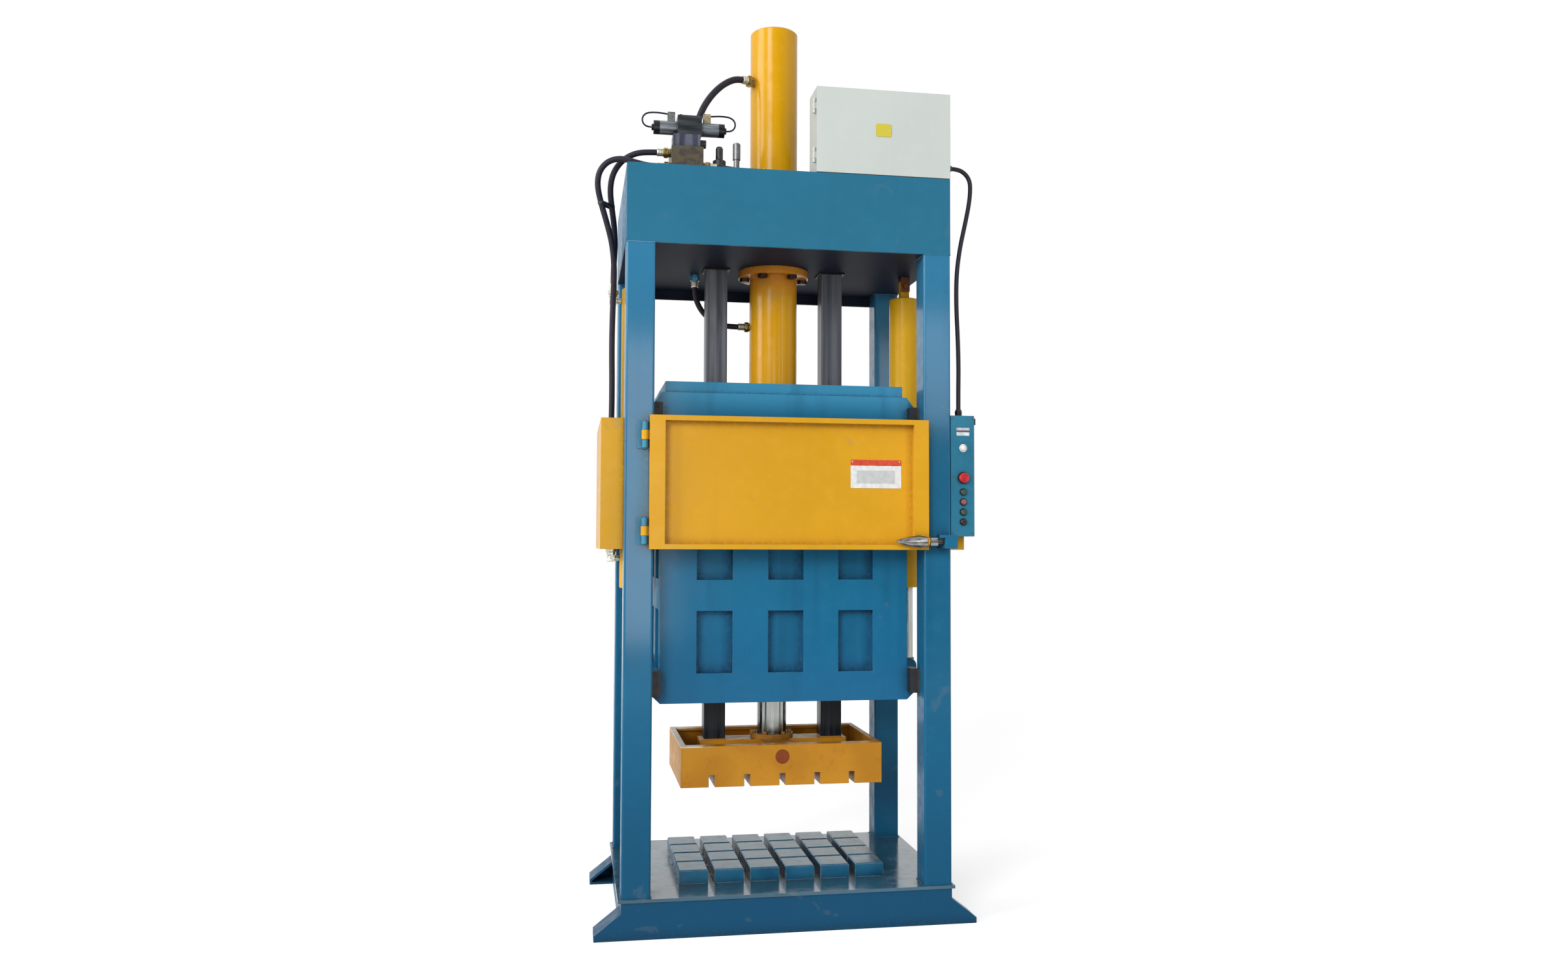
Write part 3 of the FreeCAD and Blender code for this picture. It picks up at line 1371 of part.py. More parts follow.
def hose_fittings():
    solids = [hose_fitting(*place) for place in fitting_places().values()]
    for z in (upper_port_height, lower_port_height):
        surface = -(lift_offset + lift_barrel_radius)
        middle = surface - elbow_reach
        arm = rod_along((surface, 0, z), (-1, 0, 0), elbow_half - 3, elbow_reach)
        saddle = rod_along((-lift_offset, 0, z - 50), (0, 0, 1), lift_barrel_radius, 100)
        neck = rod_along((surface + 10, 0, z), (-1, 0, 0), elbow_half - 3, 20).cut(saddle)
        block = box(middle - elbow_half, middle + elbow_half, -elbow_half, elbow_half,
                    z - elbow_half, z + elbow_half)
        solids.append(fused([arm, neck, block]))
    half = outlet_size / 2
    solids.append(box(outlet_x, outlet_x + outlet_size, outlet_y - half, outlet_y + half,
                      crosshead_top, crosshead_top + outlet_height + half))
    return group(solids)


def hose_ends(first, last):
    places = fitting_places()
    return tuple(beyond(*places[name][:2], fitting_length) for name in (first, last))


def top_hose():
    start, end = hose_ends("top_at_barrel", "top_at_manifold")
    route = [start, (-166.76, -77.77, 3478), (-214, -95, 3455), (-262, -110, 3413), (-305, -121, 3356),
             (-337, -128, 3290), (-352, -130, 3216), end]
    return cord_tube("top hose", route, big_hose)


def lift_hose_upper():
    start, end = hose_ends("upper_at_manifold", "upper_at_lift")
    route = [start, (-548, -208, 3098), (-609, -206, 3090), (-661, -198, 3059), (-696, -184, 3010),
             (-707, -165, 2948), (-698, -140, 2878), (-685, -104, 2804), (-680, -60, 2740),
             (-683, -20, 2676), (-684, 0, 2618), end]
    return cord_tube("upper lift hose", route, small_hose)


def lift_hose_lower():
    start, end = hose_ends("lower_at_manifold", "lower_at_lift")
    route = [start, (-550, -240, 3030), (-608, -240, 3042), (-661, -236, 3057), (-714, -229, 3047),
             (-751, -217, 3009), (-760, -202, 2955), (-745, -184, 2890), (-718, -160, 2810),
             (-693, -131, 2725), (-683, -99, 2625), (-687, -70, 2500), (-690, -50, 2330), (-686, -38, 2130),
             (-689, -24, 1910), (-686, -7, 1710), (-684, 0, 1585), end]
    return cord_tube("lower lift hose", route, small_hose)


def ram_return_hose():
    start, end = hose_ends("return_at_crosshead", "return_at_barrel")
    route = [start, (-330, 100, 2594), (-319, 100, 2542), (-290, 99, 2496), (-247, 98, 2462),
             (-198, 97, 2446), (-151, 96.66, 2444), end]
    return cord_tube("ram return hose", route, small_hose)


def pressure_hose():
    start, end = hose_ends("pressure_at_manifold", "pressure_at_pump")
    route = [start, (-262, -246, 3040), (-196, -253, 3031), (-124, -265, 3013), (-46, -275, 2998),
             (40, -280, 2992), (122, -278, 2992), (196, -270, 2997), (248, -262, 3002), end]
    return cord_tube("pressure hose", route, pressure_hose_diameter)


def control_cable():
    start = (cabinet_right + gland_reach, front + cable_gland_setback, crosshead_top + cable_gland_rise)
    x, y = control_gland_place()
    end = (x, y, control_top + gland_reach)
    route = [start, (709, -378.5, 3045), (740, -381, 3027), (758, -385, 2996), (758, -390, 2950),
             (749, -396, 2888), (730, -402, 2806), (707, -407, 2710), (691, -410, 2600), (690, -409, 2470),
             (697, -407, 2340), (700, -407, 2220), (698, -408.5, 2120), end]
    return cord_tube("control cable", route, control_cable_diameter)


# ---------------------------------------------------------------- writing the files

def parts():
    beam, post, low_front = base_beam(), front_post(), chamber_front_frame()
    nodes = {
        "base_frame": group([beam, mirror_y(beam)] + base_rails()),
        "platform_plate": platform_plate(),
        "platform_blocks": platform_blocks(),
        "posts": group([post, mirror_x(post), mirror_y(post), mirror_x(mirror_y(post))]),
        "crosshead_frame": crosshead_frame(),
        "crosshead_front_cover": crosshead_front_cover(),
        "crosshead_bottom_plate": crosshead_bottom_plate_solid(),
        "crosshead_top_plate": crosshead_top_plate_solid(),
        "oil_tank": oil_tank(),
        "guide_bushes": guide_bushes(),
        "main_cylinder": main_cylinder(),
        "main_cylinder_gland": main_cylinder_gland(),
        "flange_bolts": flange_bolts(),
        "main_piston": main_piston(),
        "main_rod": main_rod(),
        "rod_collar": rod_collar(),
        "platen": platen(),
        "platen_pin": platen_pin(),
        "guide_bars": pair_x(guide_bar()),
        "chamber_shell": chamber_shell(),
        "chamber_end_frames": group([low_front, mirror_y(low_front)]),
        "chamber_side_frames": pair_x(chamber_side_frame()),
        "guide_shoes": guide_shoes(),
        "lift_rods": pair_x(lift_rod()),
        "lift_rod_pins": pair_x(lift_rod_pin()),
        "lift_cylinders": pair_x(lift_cylinder()),
        "lift_clevises": pair_x(lift_clevis()),
        "side_panels": pair_x(side_panel()),
        "rear_panel": rear_panel(),
        "feed_door": door(),
        "hinge_brackets": group([hinge_bracket(z) for z in hinge_heights]),
        "latch_handle": latch_handle(),
        "latch_keeper": latch_keeper(),
        "cabinet_body": cabinet_body(),
        "cabinet_door": cabinet_door(),
        "control_box": control_box(),
        "emergency_stop": push_button(stop_height, stop_radius, stop_cap, stop_travel),
        "indicator_lamp": indicator_lamp(),
        "selector_knob": selector_knob(),
        "valve_manifold": valve_manifold(),
        "relief_valve": relief_valve(),
        "relief_knob": relief_knob(),
        "directional_valve": directional_valve(),
        "solenoid_plugs": solenoid_plugs(),
        "solenoid_leads": solenoid_leads(),
        "tank_fittings": tank_fittings(),
        "motor_housing": motor_housing(),
        "motor_shaft": motor_shaft(),
        "hydraulic_pump": hydraulic_pump(),
        "hose_fittings": hose_fittings(),
        "top_hose": top_hose(),
        "lift_hose_upper": lift_hose_upper(),
        "lift_hose_lower": lift_hose_lower(),
        "ram_return_hose": ram_return_hose(),
        "pressure_hose": pressure_hose(),
    }
    button_names = ("chamber_down_button", "chamber_up_button", "ram_down_button", "ram_up_button")
    for name, z in zip(button_names, button_heights):
        nodes[name] = push_button(z, button_radius, button_cap, button_travel)
    nodes["control_cable"] = control_cable()
    return nodes


os.makedirs("parts", exist_ok=True)
for node, shape in parts().items():
    if not shape.isValid() or shape.Volume <= 0:
        raise ValueError("%s isn't a valid solid" % node)
    shape.exportStep("parts/%s.step" % node)
    print("%-24s %3d solids %10.0f cm3" % (node, len(shape.Solids), shape.Volume / 1000))
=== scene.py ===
"""Looks of the vertical recycling baler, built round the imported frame.

Lengths are in millimetres in the meshes and cords, and in metres in the materials, the camera
and the lamps. X is to the right, Y to the back and Z up. Colours are written as 8-bit display
values and become linear in shade().
"""

import bmesh
import bpy
import math
import random

from mathutils import Matrix, Vector


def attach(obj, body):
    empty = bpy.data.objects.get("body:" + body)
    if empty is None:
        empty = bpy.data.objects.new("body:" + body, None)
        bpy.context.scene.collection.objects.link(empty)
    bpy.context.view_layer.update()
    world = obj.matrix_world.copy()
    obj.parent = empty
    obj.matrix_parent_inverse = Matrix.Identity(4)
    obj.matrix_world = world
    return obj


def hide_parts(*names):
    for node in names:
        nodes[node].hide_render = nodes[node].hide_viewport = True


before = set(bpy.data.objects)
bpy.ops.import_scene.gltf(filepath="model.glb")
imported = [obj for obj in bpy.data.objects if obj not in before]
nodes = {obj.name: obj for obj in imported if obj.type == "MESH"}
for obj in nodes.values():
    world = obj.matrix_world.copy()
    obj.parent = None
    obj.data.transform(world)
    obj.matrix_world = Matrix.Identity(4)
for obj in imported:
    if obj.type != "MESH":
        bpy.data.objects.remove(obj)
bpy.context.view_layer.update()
random.seed(11)


def mm(x, y, z):
    """A point in millimetres as a vector in metres."""
    return Vector((x, y, z)) / 1000


def add_object(name, data):
    made = bpy.data.objects.new(name, data)
    bpy.context.scene.collection.objects.link(made)
    return made


def facing(direction):
    """The rotation of a lamp that shines along a direction."""
    return Vector(direction).to_track_quat("-Z", "Y").to_euler()


def bare_tree(owner):
    """The node tree of a material or world, with its nodes removed."""
    owner.use_nodes = True
    owner.node_tree.nodes.clear()
    return owner.node_tree


# ---------------- camera

CAMERA_PLACE = (-0.8577042, -5.1953776, 1.4996761)
CAMERA_YAW, CAMERA_PITCH, CAMERA_ROLL = 0.1730423, 0.0434408, 0.0032097
PHOTO_WIDTH = 2420
FOCAL_PIXELS = 1897.2765
SENSOR_WIDTH = 36.0
CLIP_END = 100


def add_camera():
    level = Vector((math.cos(CAMERA_YAW), -math.sin(CAMERA_YAW), 0))
    forward = Vector((math.sin(CAMERA_YAW) * math.cos(CAMERA_PITCH),
                      math.cos(CAMERA_YAW) * math.cos(CAMERA_PITCH), math.sin(CAMERA_PITCH)))
    rise = level.cross(forward)
    right = level * math.cos(CAMERA_ROLL) + rise * math.sin(CAMERA_ROLL)
    up = rise * math.cos(CAMERA_ROLL) - level * math.sin(CAMERA_ROLL)
    data = bpy.data.cameras.new("camera")
    data.sensor_width = SENSOR_WIDTH
    data.lens = SENSOR_WIDTH * FOCAL_PIXELS / PHOTO_WIDTH
    data.clip_end = CLIP_END
    camera = add_object("camera", data)
    turn = Matrix((right, up, -forward)).transposed().to_4x4()
    camera.matrix_world = Matrix.Translation(CAMERA_PLACE) @ turn
    bpy.context.scene.camera = camera


add_camera()

# ---------------- materials


def shade(red, green, blue):
    """A linear colour from 8-bit display values."""
    def linear(value):
        value /= 255
        return value / 12.92 if value <= 0.04045 else ((value + 0.055) / 1.055) ** 2.4
    return (linear(red), linear(green), linear(blue), 1.0)


def scaled(colour, factor):
    return tuple(min(1.0, channel * factor) for channel in colour[:3]) + (1.0,)


COAT_ROUGHNESS = 0.12
CORNER_SAMPLES, BEVEL_SAMPLES = 6, 4
# Ranges that a reading is spread over: openness, flatness, slope, and noise.
CORNER_RANGE, EDGE_RANGE, SLOPE_RANGE = (0.45, 0.95), (0.8, 0.97), (0.7, 0.95)
CLOUD_RANGE, GRAIN_RANGE = (0.35, 0.7), (0.3, 0.7)
MIX_FACTOR, MIX_A, MIX_B, MIX_RESULT = 0, 6, 7, 2


class Surface:
    """A material whose nodes are built a step at a time."""

    def __init__(self, name, metallic=0.0, coat=0.0, specular=0.5):
        self.material = bpy.data.materials.new(name)
        tree = bare_tree(self.material)
        self.nodes, self.links = tree.nodes, tree.links
        out = self.nodes.new("ShaderNodeOutputMaterial")
        self.shader = self.nodes.new("ShaderNodeBsdfPrincipled")
        self.links.new(self.shader.outputs[0], out.inputs[0])
        self.shader.inputs["Metallic"].default_value = metallic
        self.shader.inputs["Coat Weight"].default_value = coat
        self.shader.inputs["Coat Roughness"].default_value = COAT_ROUGHNESS
        self.shader.inputs["Specular IOR Level"].default_value = specular
        self.place = self.nodes.new("ShaderNodeTexCoord").outputs["Object"]

    def put(self, socket, value):
        """Links a socket to an input, or sets the input to a number or colour."""
        if isinstance(value, bpy.types.NodeSocket):
            self.links.new(value, socket)
        else:
            socket.default_value = value

    def noise(self, scale, detail=4.0, stretch=(1, 1, 1), distortion=0.0):
        mapping = self.nodes.new("ShaderNodeMapping")
        mapping.inputs["Scale"].default_value = stretch
        self.links.new(self.place, mapping.inputs["Vector"])
        noise = self.nodes.new("ShaderNodeTexNoise")
        noise.inputs["Scale"].default_value = scale
        noise.inputs["Detail"].default_value = detail
        noise.inputs["Distortion"].default_value = distortion
        self.links.new(mapping.outputs[0], noise.inputs["Vector"])
        return noise.outputs["Fac"]

    def span(self, value, low, high, start=0.0, end=1.0):
        """Value from low to high becomes start to end, and stops there."""
        node = self.nodes.new("ShaderNodeMapRange")
        node.interpolation_type = "SMOOTHSTEP"
        self.put(node.inputs["Value"], value)
        ends = {"From Min": low, "From Max": high, "To Min": start, "To Max": end}
        for socket, number in ends.items():
            node.inputs[socket].default_value = number
        return node.outputs["Result"]

    def within(self, value, low, high, soft):
        """1 between low and high, and 0 outside."""
        return self.times(self.span(value, low, low + soft),
                          self.span(value, high - soft, high, 1.0, 0.0))

    def calc(self, operation, a, b=0.0):
        node = self.nodes.new("ShaderNodeMath")
        node.operation = operation
        self.put(node.inputs[0], a)
        self.put(node.inputs[1], b)
        return node.outputs[0]

    def times(self, a, b):
        return self.calc("MULTIPLY", a, b)

    def off(self, value, middle):
        """The distance of a value from middle."""
        return self.calc("ABSOLUTE", self.calc("SUBTRACT", value, middle))

    def mix(self, factor, a, b):
        node = self.nodes.new("ShaderNodeMix")
        node.data_type = "RGBA"
        self.put(node.inputs[MIX_FACTOR], factor)
        self.put(node.inputs[MIX_A], a)
        self.put(node.inputs[MIX_B], b)
        return node.outputs[MIX_RESULT]

    def clouded(self, value, dark, pale):
        """Dark and pale in the pattern of a noise."""
        return self.mix(self.span(value, *CLOUD_RANGE), dark, pale)

    def dirt_and_shade_in_corners(self, colour, distance, amount, corner_dirt_and_shade):
        """The colour with dirt and painted shade in its inner corners."""
        return self.mix(self.times(self.corners(distance), amount), colour, corner_dirt_and_shade)

    def axis(self, name):
        split = self.nodes.new("ShaderNodeSeparateXYZ")
        self.links.new(self.place, split.inputs[0])
        return split.outputs[name]

    def corners(self, distance):
        """Near 1 where surfaces meet in a corner."""
        node = self.nodes.new("ShaderNodeAmbientOcclusion")
        node.samples = CORNER_SAMPLES
        node.inputs["Distance"].default_value = distance
        return self.span(node.outputs["AO"], *CORNER_RANGE, 1.0, 0.0)

    def bevel(self, radius):
        """The normal as it would be with round edges."""
        node = self.nodes.new("ShaderNodeBevel")
        node.samples = BEVEL_SAMPLES
        node.inputs["Radius"].default_value = radius
        return node.outputs[0]

    def edges(self, radius):
        """Near 1 along sharp edges."""
        flat = self.nodes.new("ShaderNodeNewGeometry").outputs["Normal"]
        dot = self.nodes.new("ShaderNodeVectorMath")
        dot.operation = "DOT_PRODUCT"
        self.links.new(self.bevel(radius), dot.inputs[0])
        self.links.new(flat, dot.inputs[1])
        return self.span(dot.outputs["Value"], *EDGE_RANGE, 1.0, 0.0)

    def facing_up(self):
        """Near 1 on faces that look up."""
        split = self.nodes.new("ShaderNodeSeparateXYZ")
        self.links.new(self.nodes.new("ShaderNodeNewGeometry").outputs["Normal"], split.inputs[0])
        return self.span(split.outputs["Z"], *SLOPE_RANGE)

    def finish(self, colour, roughness, height, strength, distance, round_edge=0.0):
        """Links colour, roughness and relief to the shader and returns the material."""
        self.put(self.shader.inputs["Base Color"], colour)
        self.put(self.shader.inputs["Roughness"], roughness)
        bump = self.nodes.new("ShaderNodeBump")
        bump.inputs["Strength"].default_value = strength
        bump.inputs["Distance"].default_value = distance
        self.links.new(height, bump.inputs["Height"])
        if round_edge:
            self.links.new(self.bevel(round_edge), bump.inputs["Normal"])
        self.links.new(bump.outputs[0], self.shader.inputs["Normal"])
        return self.material

    def grained(self, colour, grain, rough, strength, distance, round_edge):
        """Finish with one noise for the relief and for the roughness, between the two in rough."""
        roughness = self.span(grain, *GRAIN_RANGE, *rough)
        return self.finish(colour, roughness, grain, strength, distance, round_edge)


STEEL_CHIP = shade(112, 116, 118)
RUST = shade(96, 62, 38)
DUST = shade(118, 108, 94)


def painted(name, base, deep=0.84, pale=1.1, chip=STEEL_CHIP, wear=0.45, corner_dirt_and_shade=shade(24, 26, 28),
            grime_and_shade=0.5, rough=0.34, tones=(), runs=0.25, coat=0.05, patch=1.5, corner=0.06, dust=0.0,
            peel=0.12, specular=0.12, gloss=None):
    """Sprayed steel: broad patches, runs, dirt and painted shade in the corners, edges worn
    through, orange peel.

    A tone is the height where it begins, the height where it is full, its colour and its amount.
    Gloss is two heights and the weight of the clear coat at each. Heights are in metres.
    """
    s = Surface(name, coat=coat, specular=specular)
    broad = s.noise(patch, 3, distortion=0.4)
    fine = s.noise(23, 6)
    colour = s.mix(s.span(broad, 0.38, 0.66), scaled(base, deep), base)
    colour = s.mix(s.span(fine, 0.5, 0.8, 0, 0.4), colour, scaled(base, pale))
    for begin, full, tone, amount in tones:
        colour = s.mix(s.span(s.axis("Z"), begin, full, 0, amount), colour, tone)
    streaks = s.noise(11, 4, stretch=(1, 1, 0.05))
    colour = s.mix(s.span(streaks, 0.52, 0.75, 0, runs), colour, scaled(base, 0.45))
    spots = s.noise(70, 5)
    # Dirt and painted shade where surfaces meet in corners, broken up by spots.
    inner = s.times(s.corners(corner), s.span(spots, 0.3, 0.6, 0.45, 1.0))
    colour = s.mix(s.times(inner, grime_and_shade), colour, corner_dirt_and_shade)
    if dust:
        settled = s.times(s.facing_up(), s.span(broad, 0.3, 0.6, 0.4, 1.0))
        colour = s.mix(s.times(settled, dust), colour, DUST)
    worn = s.times(s.edges(0.004), s.span(s.noise(16, 5), 0.47, 0.6, 0, wear))
    scuffs = s.times(s.span(s.noise(6, 8, distortion=1.5), 0.66, 0.7), 0.35 * wear)
    bare = s.calc("MAXIMUM", worn, scuffs)
    colour = s.mix(bare, colour, chip)
    if gloss:
        s.put(s.shader.inputs["Coat Weight"], s.span(s.axis("Z"), *gloss))
    roughness = s.span(fine, 0.3, 0.75, rough - 0.07, rough + 0.14)
    roughness = s.calc("ADD", roughness, s.times(inner, 0.25))
    height = s.calc("SUBTRACT", s.times(s.noise(260, 3), peel), bare)
    return s.finish(colour, roughness, height, 0.35, 0.0006, round_edge=0.0025)


def metal(name, base, rough, stretch=(1, 1, 1), grain=160, stain=RUST, stained=0.2, mark=0.25):
    """Bare or plated metal with its grain, tarnish and stains."""
    s = Surface(name, metallic=1.0)
    lines = s.noise(grain, 3, stretch=stretch)
    clouds = s.noise(9, 5, distortion=0.8)
    colour = s.mix(s.span(lines, 0.35, 0.68), scaled(base, 1 - mark), base)
    colour = s.mix(s.span(clouds, 0.35, 0.7, 0, 0.35), colour, scaled(base, 0.62))
    inner = s.times(s.corners(0.03), 0.5)
    spots = s.span(s.noise(38, 8, distortion=1.2), 0.56, 0.72, 0, stained)
    colour = s.mix(s.calc("MAXIMUM", inner, spots), colour, stain)
    roughness = s.calc("ADD", s.span(lines, 0.3, 0.7, rough - 0.04, rough + 0.1),
                       s.span(clouds, 0.4, 0.7, 0, 0.12))
    return s.finish(colour, roughness, lines, 0.12, 0.0004, round_edge=0.0015)


def moulded(name, base, rough=0.4, specks=0.12, dusty=0.25, grain=420, strength=0.15, specular=0.5):
    """Plastic or rubber with a fine moulded grain and a little dust."""
    s = Surface(name, specular=specular)
    clouds = s.noise(31, 5)
    fine = s.noise(grain, 2)
    colour = s.clouded(clouds, scaled(base, 0.75), scaled(base, 1.15))
    colour = s.mix(s.span(fine, 0.55, 0.8, 0, specks), colour, scaled(base, 1.6))
    film = s.times(s.calc("MAXIMUM", s.facing_up(), s.corners(0.012)),
                   s.span(clouds, 0.35, 0.65, 0.3, dusty))
    colour = s.mix(film, colour, DUST)
    roughness = s.span(clouds, 0.3, 0.7, rough - 0.06, rough + 0.14)
    return s.finish(colour, roughness, fine, strength, 0.0005, round_edge=0.001)


BLUE = shade(30, 104, 140)
YELLOW = shade(218, 161, 33)
looks = {
    "frame": painted("frame_steel_blue", BLUE, tones=[(1.3, 0.3, shade(14, 72, 106), 0.9)]),
    # Posts: darker towards the bottom, and lighter from 1.9 m up as a painted reflection.
    "post": painted(
        "post_steel_blue", shade(24, 104, 142), runs=0.3, peel=0.2, gloss=(0.7, 1.15, 0.06, 0.5),
        tones=[(0.9, 0.25, shade(14, 78, 112), 0.8), (1.9, 2.7, shade(56, 132, 172), 0.6)]),
    "cover": painted(
        "cover_steel_blue", shade(43, 113, 143), deep=0.93, pale=1.05, runs=0.05, grime_and_shade=0.2,
        wear=0.25, rough=0.42, coat=0.0, specular=0.1),
    "top": painted("crosshead_top_blue", shade(44, 104, 132), dust=0.35),
    "platform": painted(
        "platform_dark", shade(52, 96, 118), deep=0.75, specular=0.3, chip=shade(130, 128, 122),
        wear=0.4, rough=0.16, coat=0.5, dust=0.04, runs=0.0, peel=0.03),
    # Chamber: darker towards the bottom, and a lighter band from 2.0 m up as a painted highlight.
    "chamber": painted(
        "chamber_blue", shade(24, 110, 150), deep=0.86, coat=0.2, peel=0.2, corner_dirt_and_shade=shade(22, 56, 86),
        grime_and_shade=0.75, corner=0.05, runs=0.3, wear=0.55,
        tones=[(1.3, 0.8, shade(20, 96, 142), 0.5), (2.0, 2.1, shade(60, 142, 180), 0.8)]),
    "yellow": painted(
        "door_yellow", YELLOW, deep=0.9, pale=1.04, corner_dirt_and_shade=shade(120, 78, 24), grime_and_shade=0.45,
        corner=0.035, runs=0.1, wear=0.4, rough=0.3),
    "mark": painted("plate_yellow", shade(210, 196, 70), deep=0.95, pale=1.02, wear=0.2, runs=0.0),
    "barrel": painted(
        "barrel_yellow", shade(228, 168, 16), deep=0.92, pale=1.04, corner_dirt_and_shade=shade(110, 62, 20),
        grime_and_shade=0.55, runs=0.08, wear=0.3, rough=0.17, coat=0.1, specular=0.2,
        tones=[(2.69, 2.66, shade(226, 142, 52), 0.8), (2.63, 2.52, shade(218, 157, 20), 1.0)]),
    "lift": painted(
        "lift_yellow", shade(226, 172, 26), deep=0.9, specular=0.15, corner_dirt_and_shade=shade(96, 58, 22),
        rough=0.28, runs=0.2, wear=0.4),
    "hinge": painted("hinge_blue", shade(72, 138, 168), wear=0.6),
    # Clevises brown as a painted reflection of the yellow lift cylinders in the underside above
    # them.
    "clevis": painted("clevis_reflection_brown", shade(124, 74, 44), wear=0.6),
    "rod": metal(
        "hard_chrome", shade(184, 188, 184), rough=0.12, stretch=(1, 1, 0.02), grain=210,
        stained=0.04, mark=0.35),
    "handle": metal(
        "polished_handle", shade(172, 172, 170), rough=0.12, stretch=(0.04, 1, 1), grain=110,
        stained=0.1, mark=0.75),
    "machined": metal("machined_steel", shade(134, 130, 124), rough=0.34, stained=0.3),
    "bolt": metal("dark_bolt", shade(62, 58, 56), rough=0.42, stained=0.45),
    "collar": painted(
        "collar_worn_yellow", shade(172, 118, 40), chip=shade(178, 172, 152), wear=0.9, rough=0.4),
    "pin": metal(
        "rusty_pin", shade(140, 76, 46), rough=0.5, stain=shade(118, 50, 26), stained=0.85),
    # Guide bushes under the crosshead: bronze and its heavy stain kept nearly black as painted
    # shade.
    "bronze": metal(
        "bush_bronze_shaded", shade(58, 52, 48), rough=0.45, stain=shade(34, 28, 24), stained=0.7),
    "zinc": metal(
        "zinc_plate", shade(226, 223, 206), rough=0.42, stain=shade(120, 112, 84), stained=0.2),
    "tank": painted("tank_grey", shade(72, 78, 82), chip=RUST, dust=0.3),
    "black": moulded("black_plastic", shade(30, 31, 34)),
    "shoe": moulded("slide_plastic", shade(26, 28, 32), rough=0.5, dusty=0.35),
    "cabinet": painted(
        "cabinet_grey", shade(202, 208, 203), deep=0.95, pale=1.02, chip=shade(150, 150, 146),
        corner_dirt_and_shade=shade(120, 116, 104), grime_and_shade=0.35, runs=0.04, wear=0.2, rough=0.4, coat=0.0, dust=0.1,
        peel=0.3),
    "red": moulded("red_plastic", shade(200, 34, 40), rough=0.24, dusty=0.1),
    "dull_red": moulded("dull_red_plastic", shade(140, 78, 82), rough=0.22, dusty=0.3),
    "green": moulded("dull_green_plastic", shade(66, 92, 78), rough=0.22, dusty=0.3),
    "dark": moulded("dark_button", shade(62, 56, 62), rough=0.22),
    "lens": moulded("white_lens", shade(236, 236, 230), rough=0.16, specks=0.0, dusty=0.05),
    "iron": painted(
        "valve_black", shade(40, 44, 48), chip=shade(104, 100, 92), corner_dirt_and_shade=shade(14, 14, 14),
        rough=0.42, dust=0.2, peel=0.6, patch=14, wear=0.7),
    "motor": painted("motor_grey_blue", shade(70, 92, 108), dust=0.35, rough=0.4),
    "rubber": moulded(
        "hose_rubber", shade(40, 36, 48), rough=0.42, specks=0.2, dusty=0.15, grain=900,
        strength=0.3, specular=0.25),
    "lead": moulded("lead_sheath", shade(38, 30, 50), rough=0.4, specular=0.2),
    "white": moulded("plate_white", shade(226, 227, 226), rough=0.34, specks=0.0, dusty=0.12),
}

# Where one colour gives way to another inside a piece, in metres.
RIM_HEIGHT, RIM_BARE_AND_LIT = (0.684, 0.689), (-0.26, -0.36)
VALVE_MIDDLE = -0.388
VALVE_BODY_END, VALVE_COIL_END = (0.0496, 0.0500), (0.120, 0.122)
PLUG_MIDDLE = (-0.39, -0.386)
DOOR_FIELD_X, DOOR_FIELD_Z, DOOR_BAND = (0.2605, 0.4165), (1.7370, 1.7890), (1.8075, 1.8080)
FIELD_SOFT = 0.0005
SWITCH_MIDDLE, SWITCH_STRIPE, SWITCH_START = -0.196, (0.0028, 0.0032), (-0.232, -0.228)
BREATHER_FOOT = (2.996, 3.0)
UNDER_CROSSHEAD, BEHIND_BARREL, LEFT_OF_BARREL = (2.668, 2.666), (0.05, 0.06), (-0.28, -0.29)
LEFT_LIFT_CYLINDER = (-0.6, -0.61)
BUTTON_RINGS, CABLE_GLAND = (-0.4592, -0.4588), (2.0162, 2.0168)
STRIP_FOOT, GUIDE_GREYER_ABOVE, BLOCKS_GREYER = (1.9562, 1.9566), (1.4, 2.3), (0.1, 0.4)


def block_look():
    """Blue sides, painted shade in their corners, a top rubbed down to metal, greyer towards the
    right.
    """
    s = Surface("block_worn_blue", coat=0.25, specular=0.2)
    broad = s.noise(5, 4)
    fine = s.noise(22, 4, distortion=0.6)
    side = s.mix(s.span(broad, 0.35, 0.65), shade(18, 76, 106), shade(32, 98, 130))
    side = s.dirt_and_shade_in_corners(side, 0.04, 0.6, shade(18, 36, 56))
    rubbed = s.clouded(fine, shade(66, 104, 118), shade(98, 126, 136))
    rubbed = s.mix(s.span(s.axis("X"), *BLOCKS_GREYER, 0, 0.4), rubbed, shade(120, 122, 116))
    rubbed = s.mix(s.span(broad, 0.45, 0.62, 0, 0.5), rubbed, shade(52, 92, 116))
    edge = s.times(s.edges(0.004), s.span(fine, 0.4, 0.6, 0.2, 0.9))
    colour = s.mix(edge, side, shade(186, 188, 182))
    colour = s.mix(s.times(s.facing_up(), s.span(fine, 0.28, 0.5, 0.6, 1.0)), colour, rubbed)
    return s.grained(colour, fine, (0.16, 0.34), 0.06, 0.0008, 0.003)


def guide_look():
    """Dark bars, nearly black low down and greyer higher up."""
    s = Surface("guide_bar_dark", coat=0.05, specular=0.15)
    lines = s.noise(60, 4, stretch=(1, 1, 0.02))
    low = s.clouded(lines, shade(24, 26, 32), shade(42, 46, 52))
    high = s.clouded(lines, shade(74, 77, 84), shade(106, 108, 114))
    colour = s.mix(s.span(s.axis("Z"), *GUIDE_GREYER_ABOVE), low, high)
    worn = s.times(s.edges(0.005), s.span(s.noise(9, 5), 0.4, 0.6, 0.1, 0.6))
    colour = s.mix(worn, colour, shade(128, 128, 126))
    stains = s.span(s.noise(13, 6, stretch=(1, 1, 0.2)), 0.55, 0.75, 0, 0.5)
    colour = s.mix(stains, colour, shade(22, 20, 20))
    return s.grained(colour, lines, (0.22, 0.42), 0.15, 0.0005, 0.003)


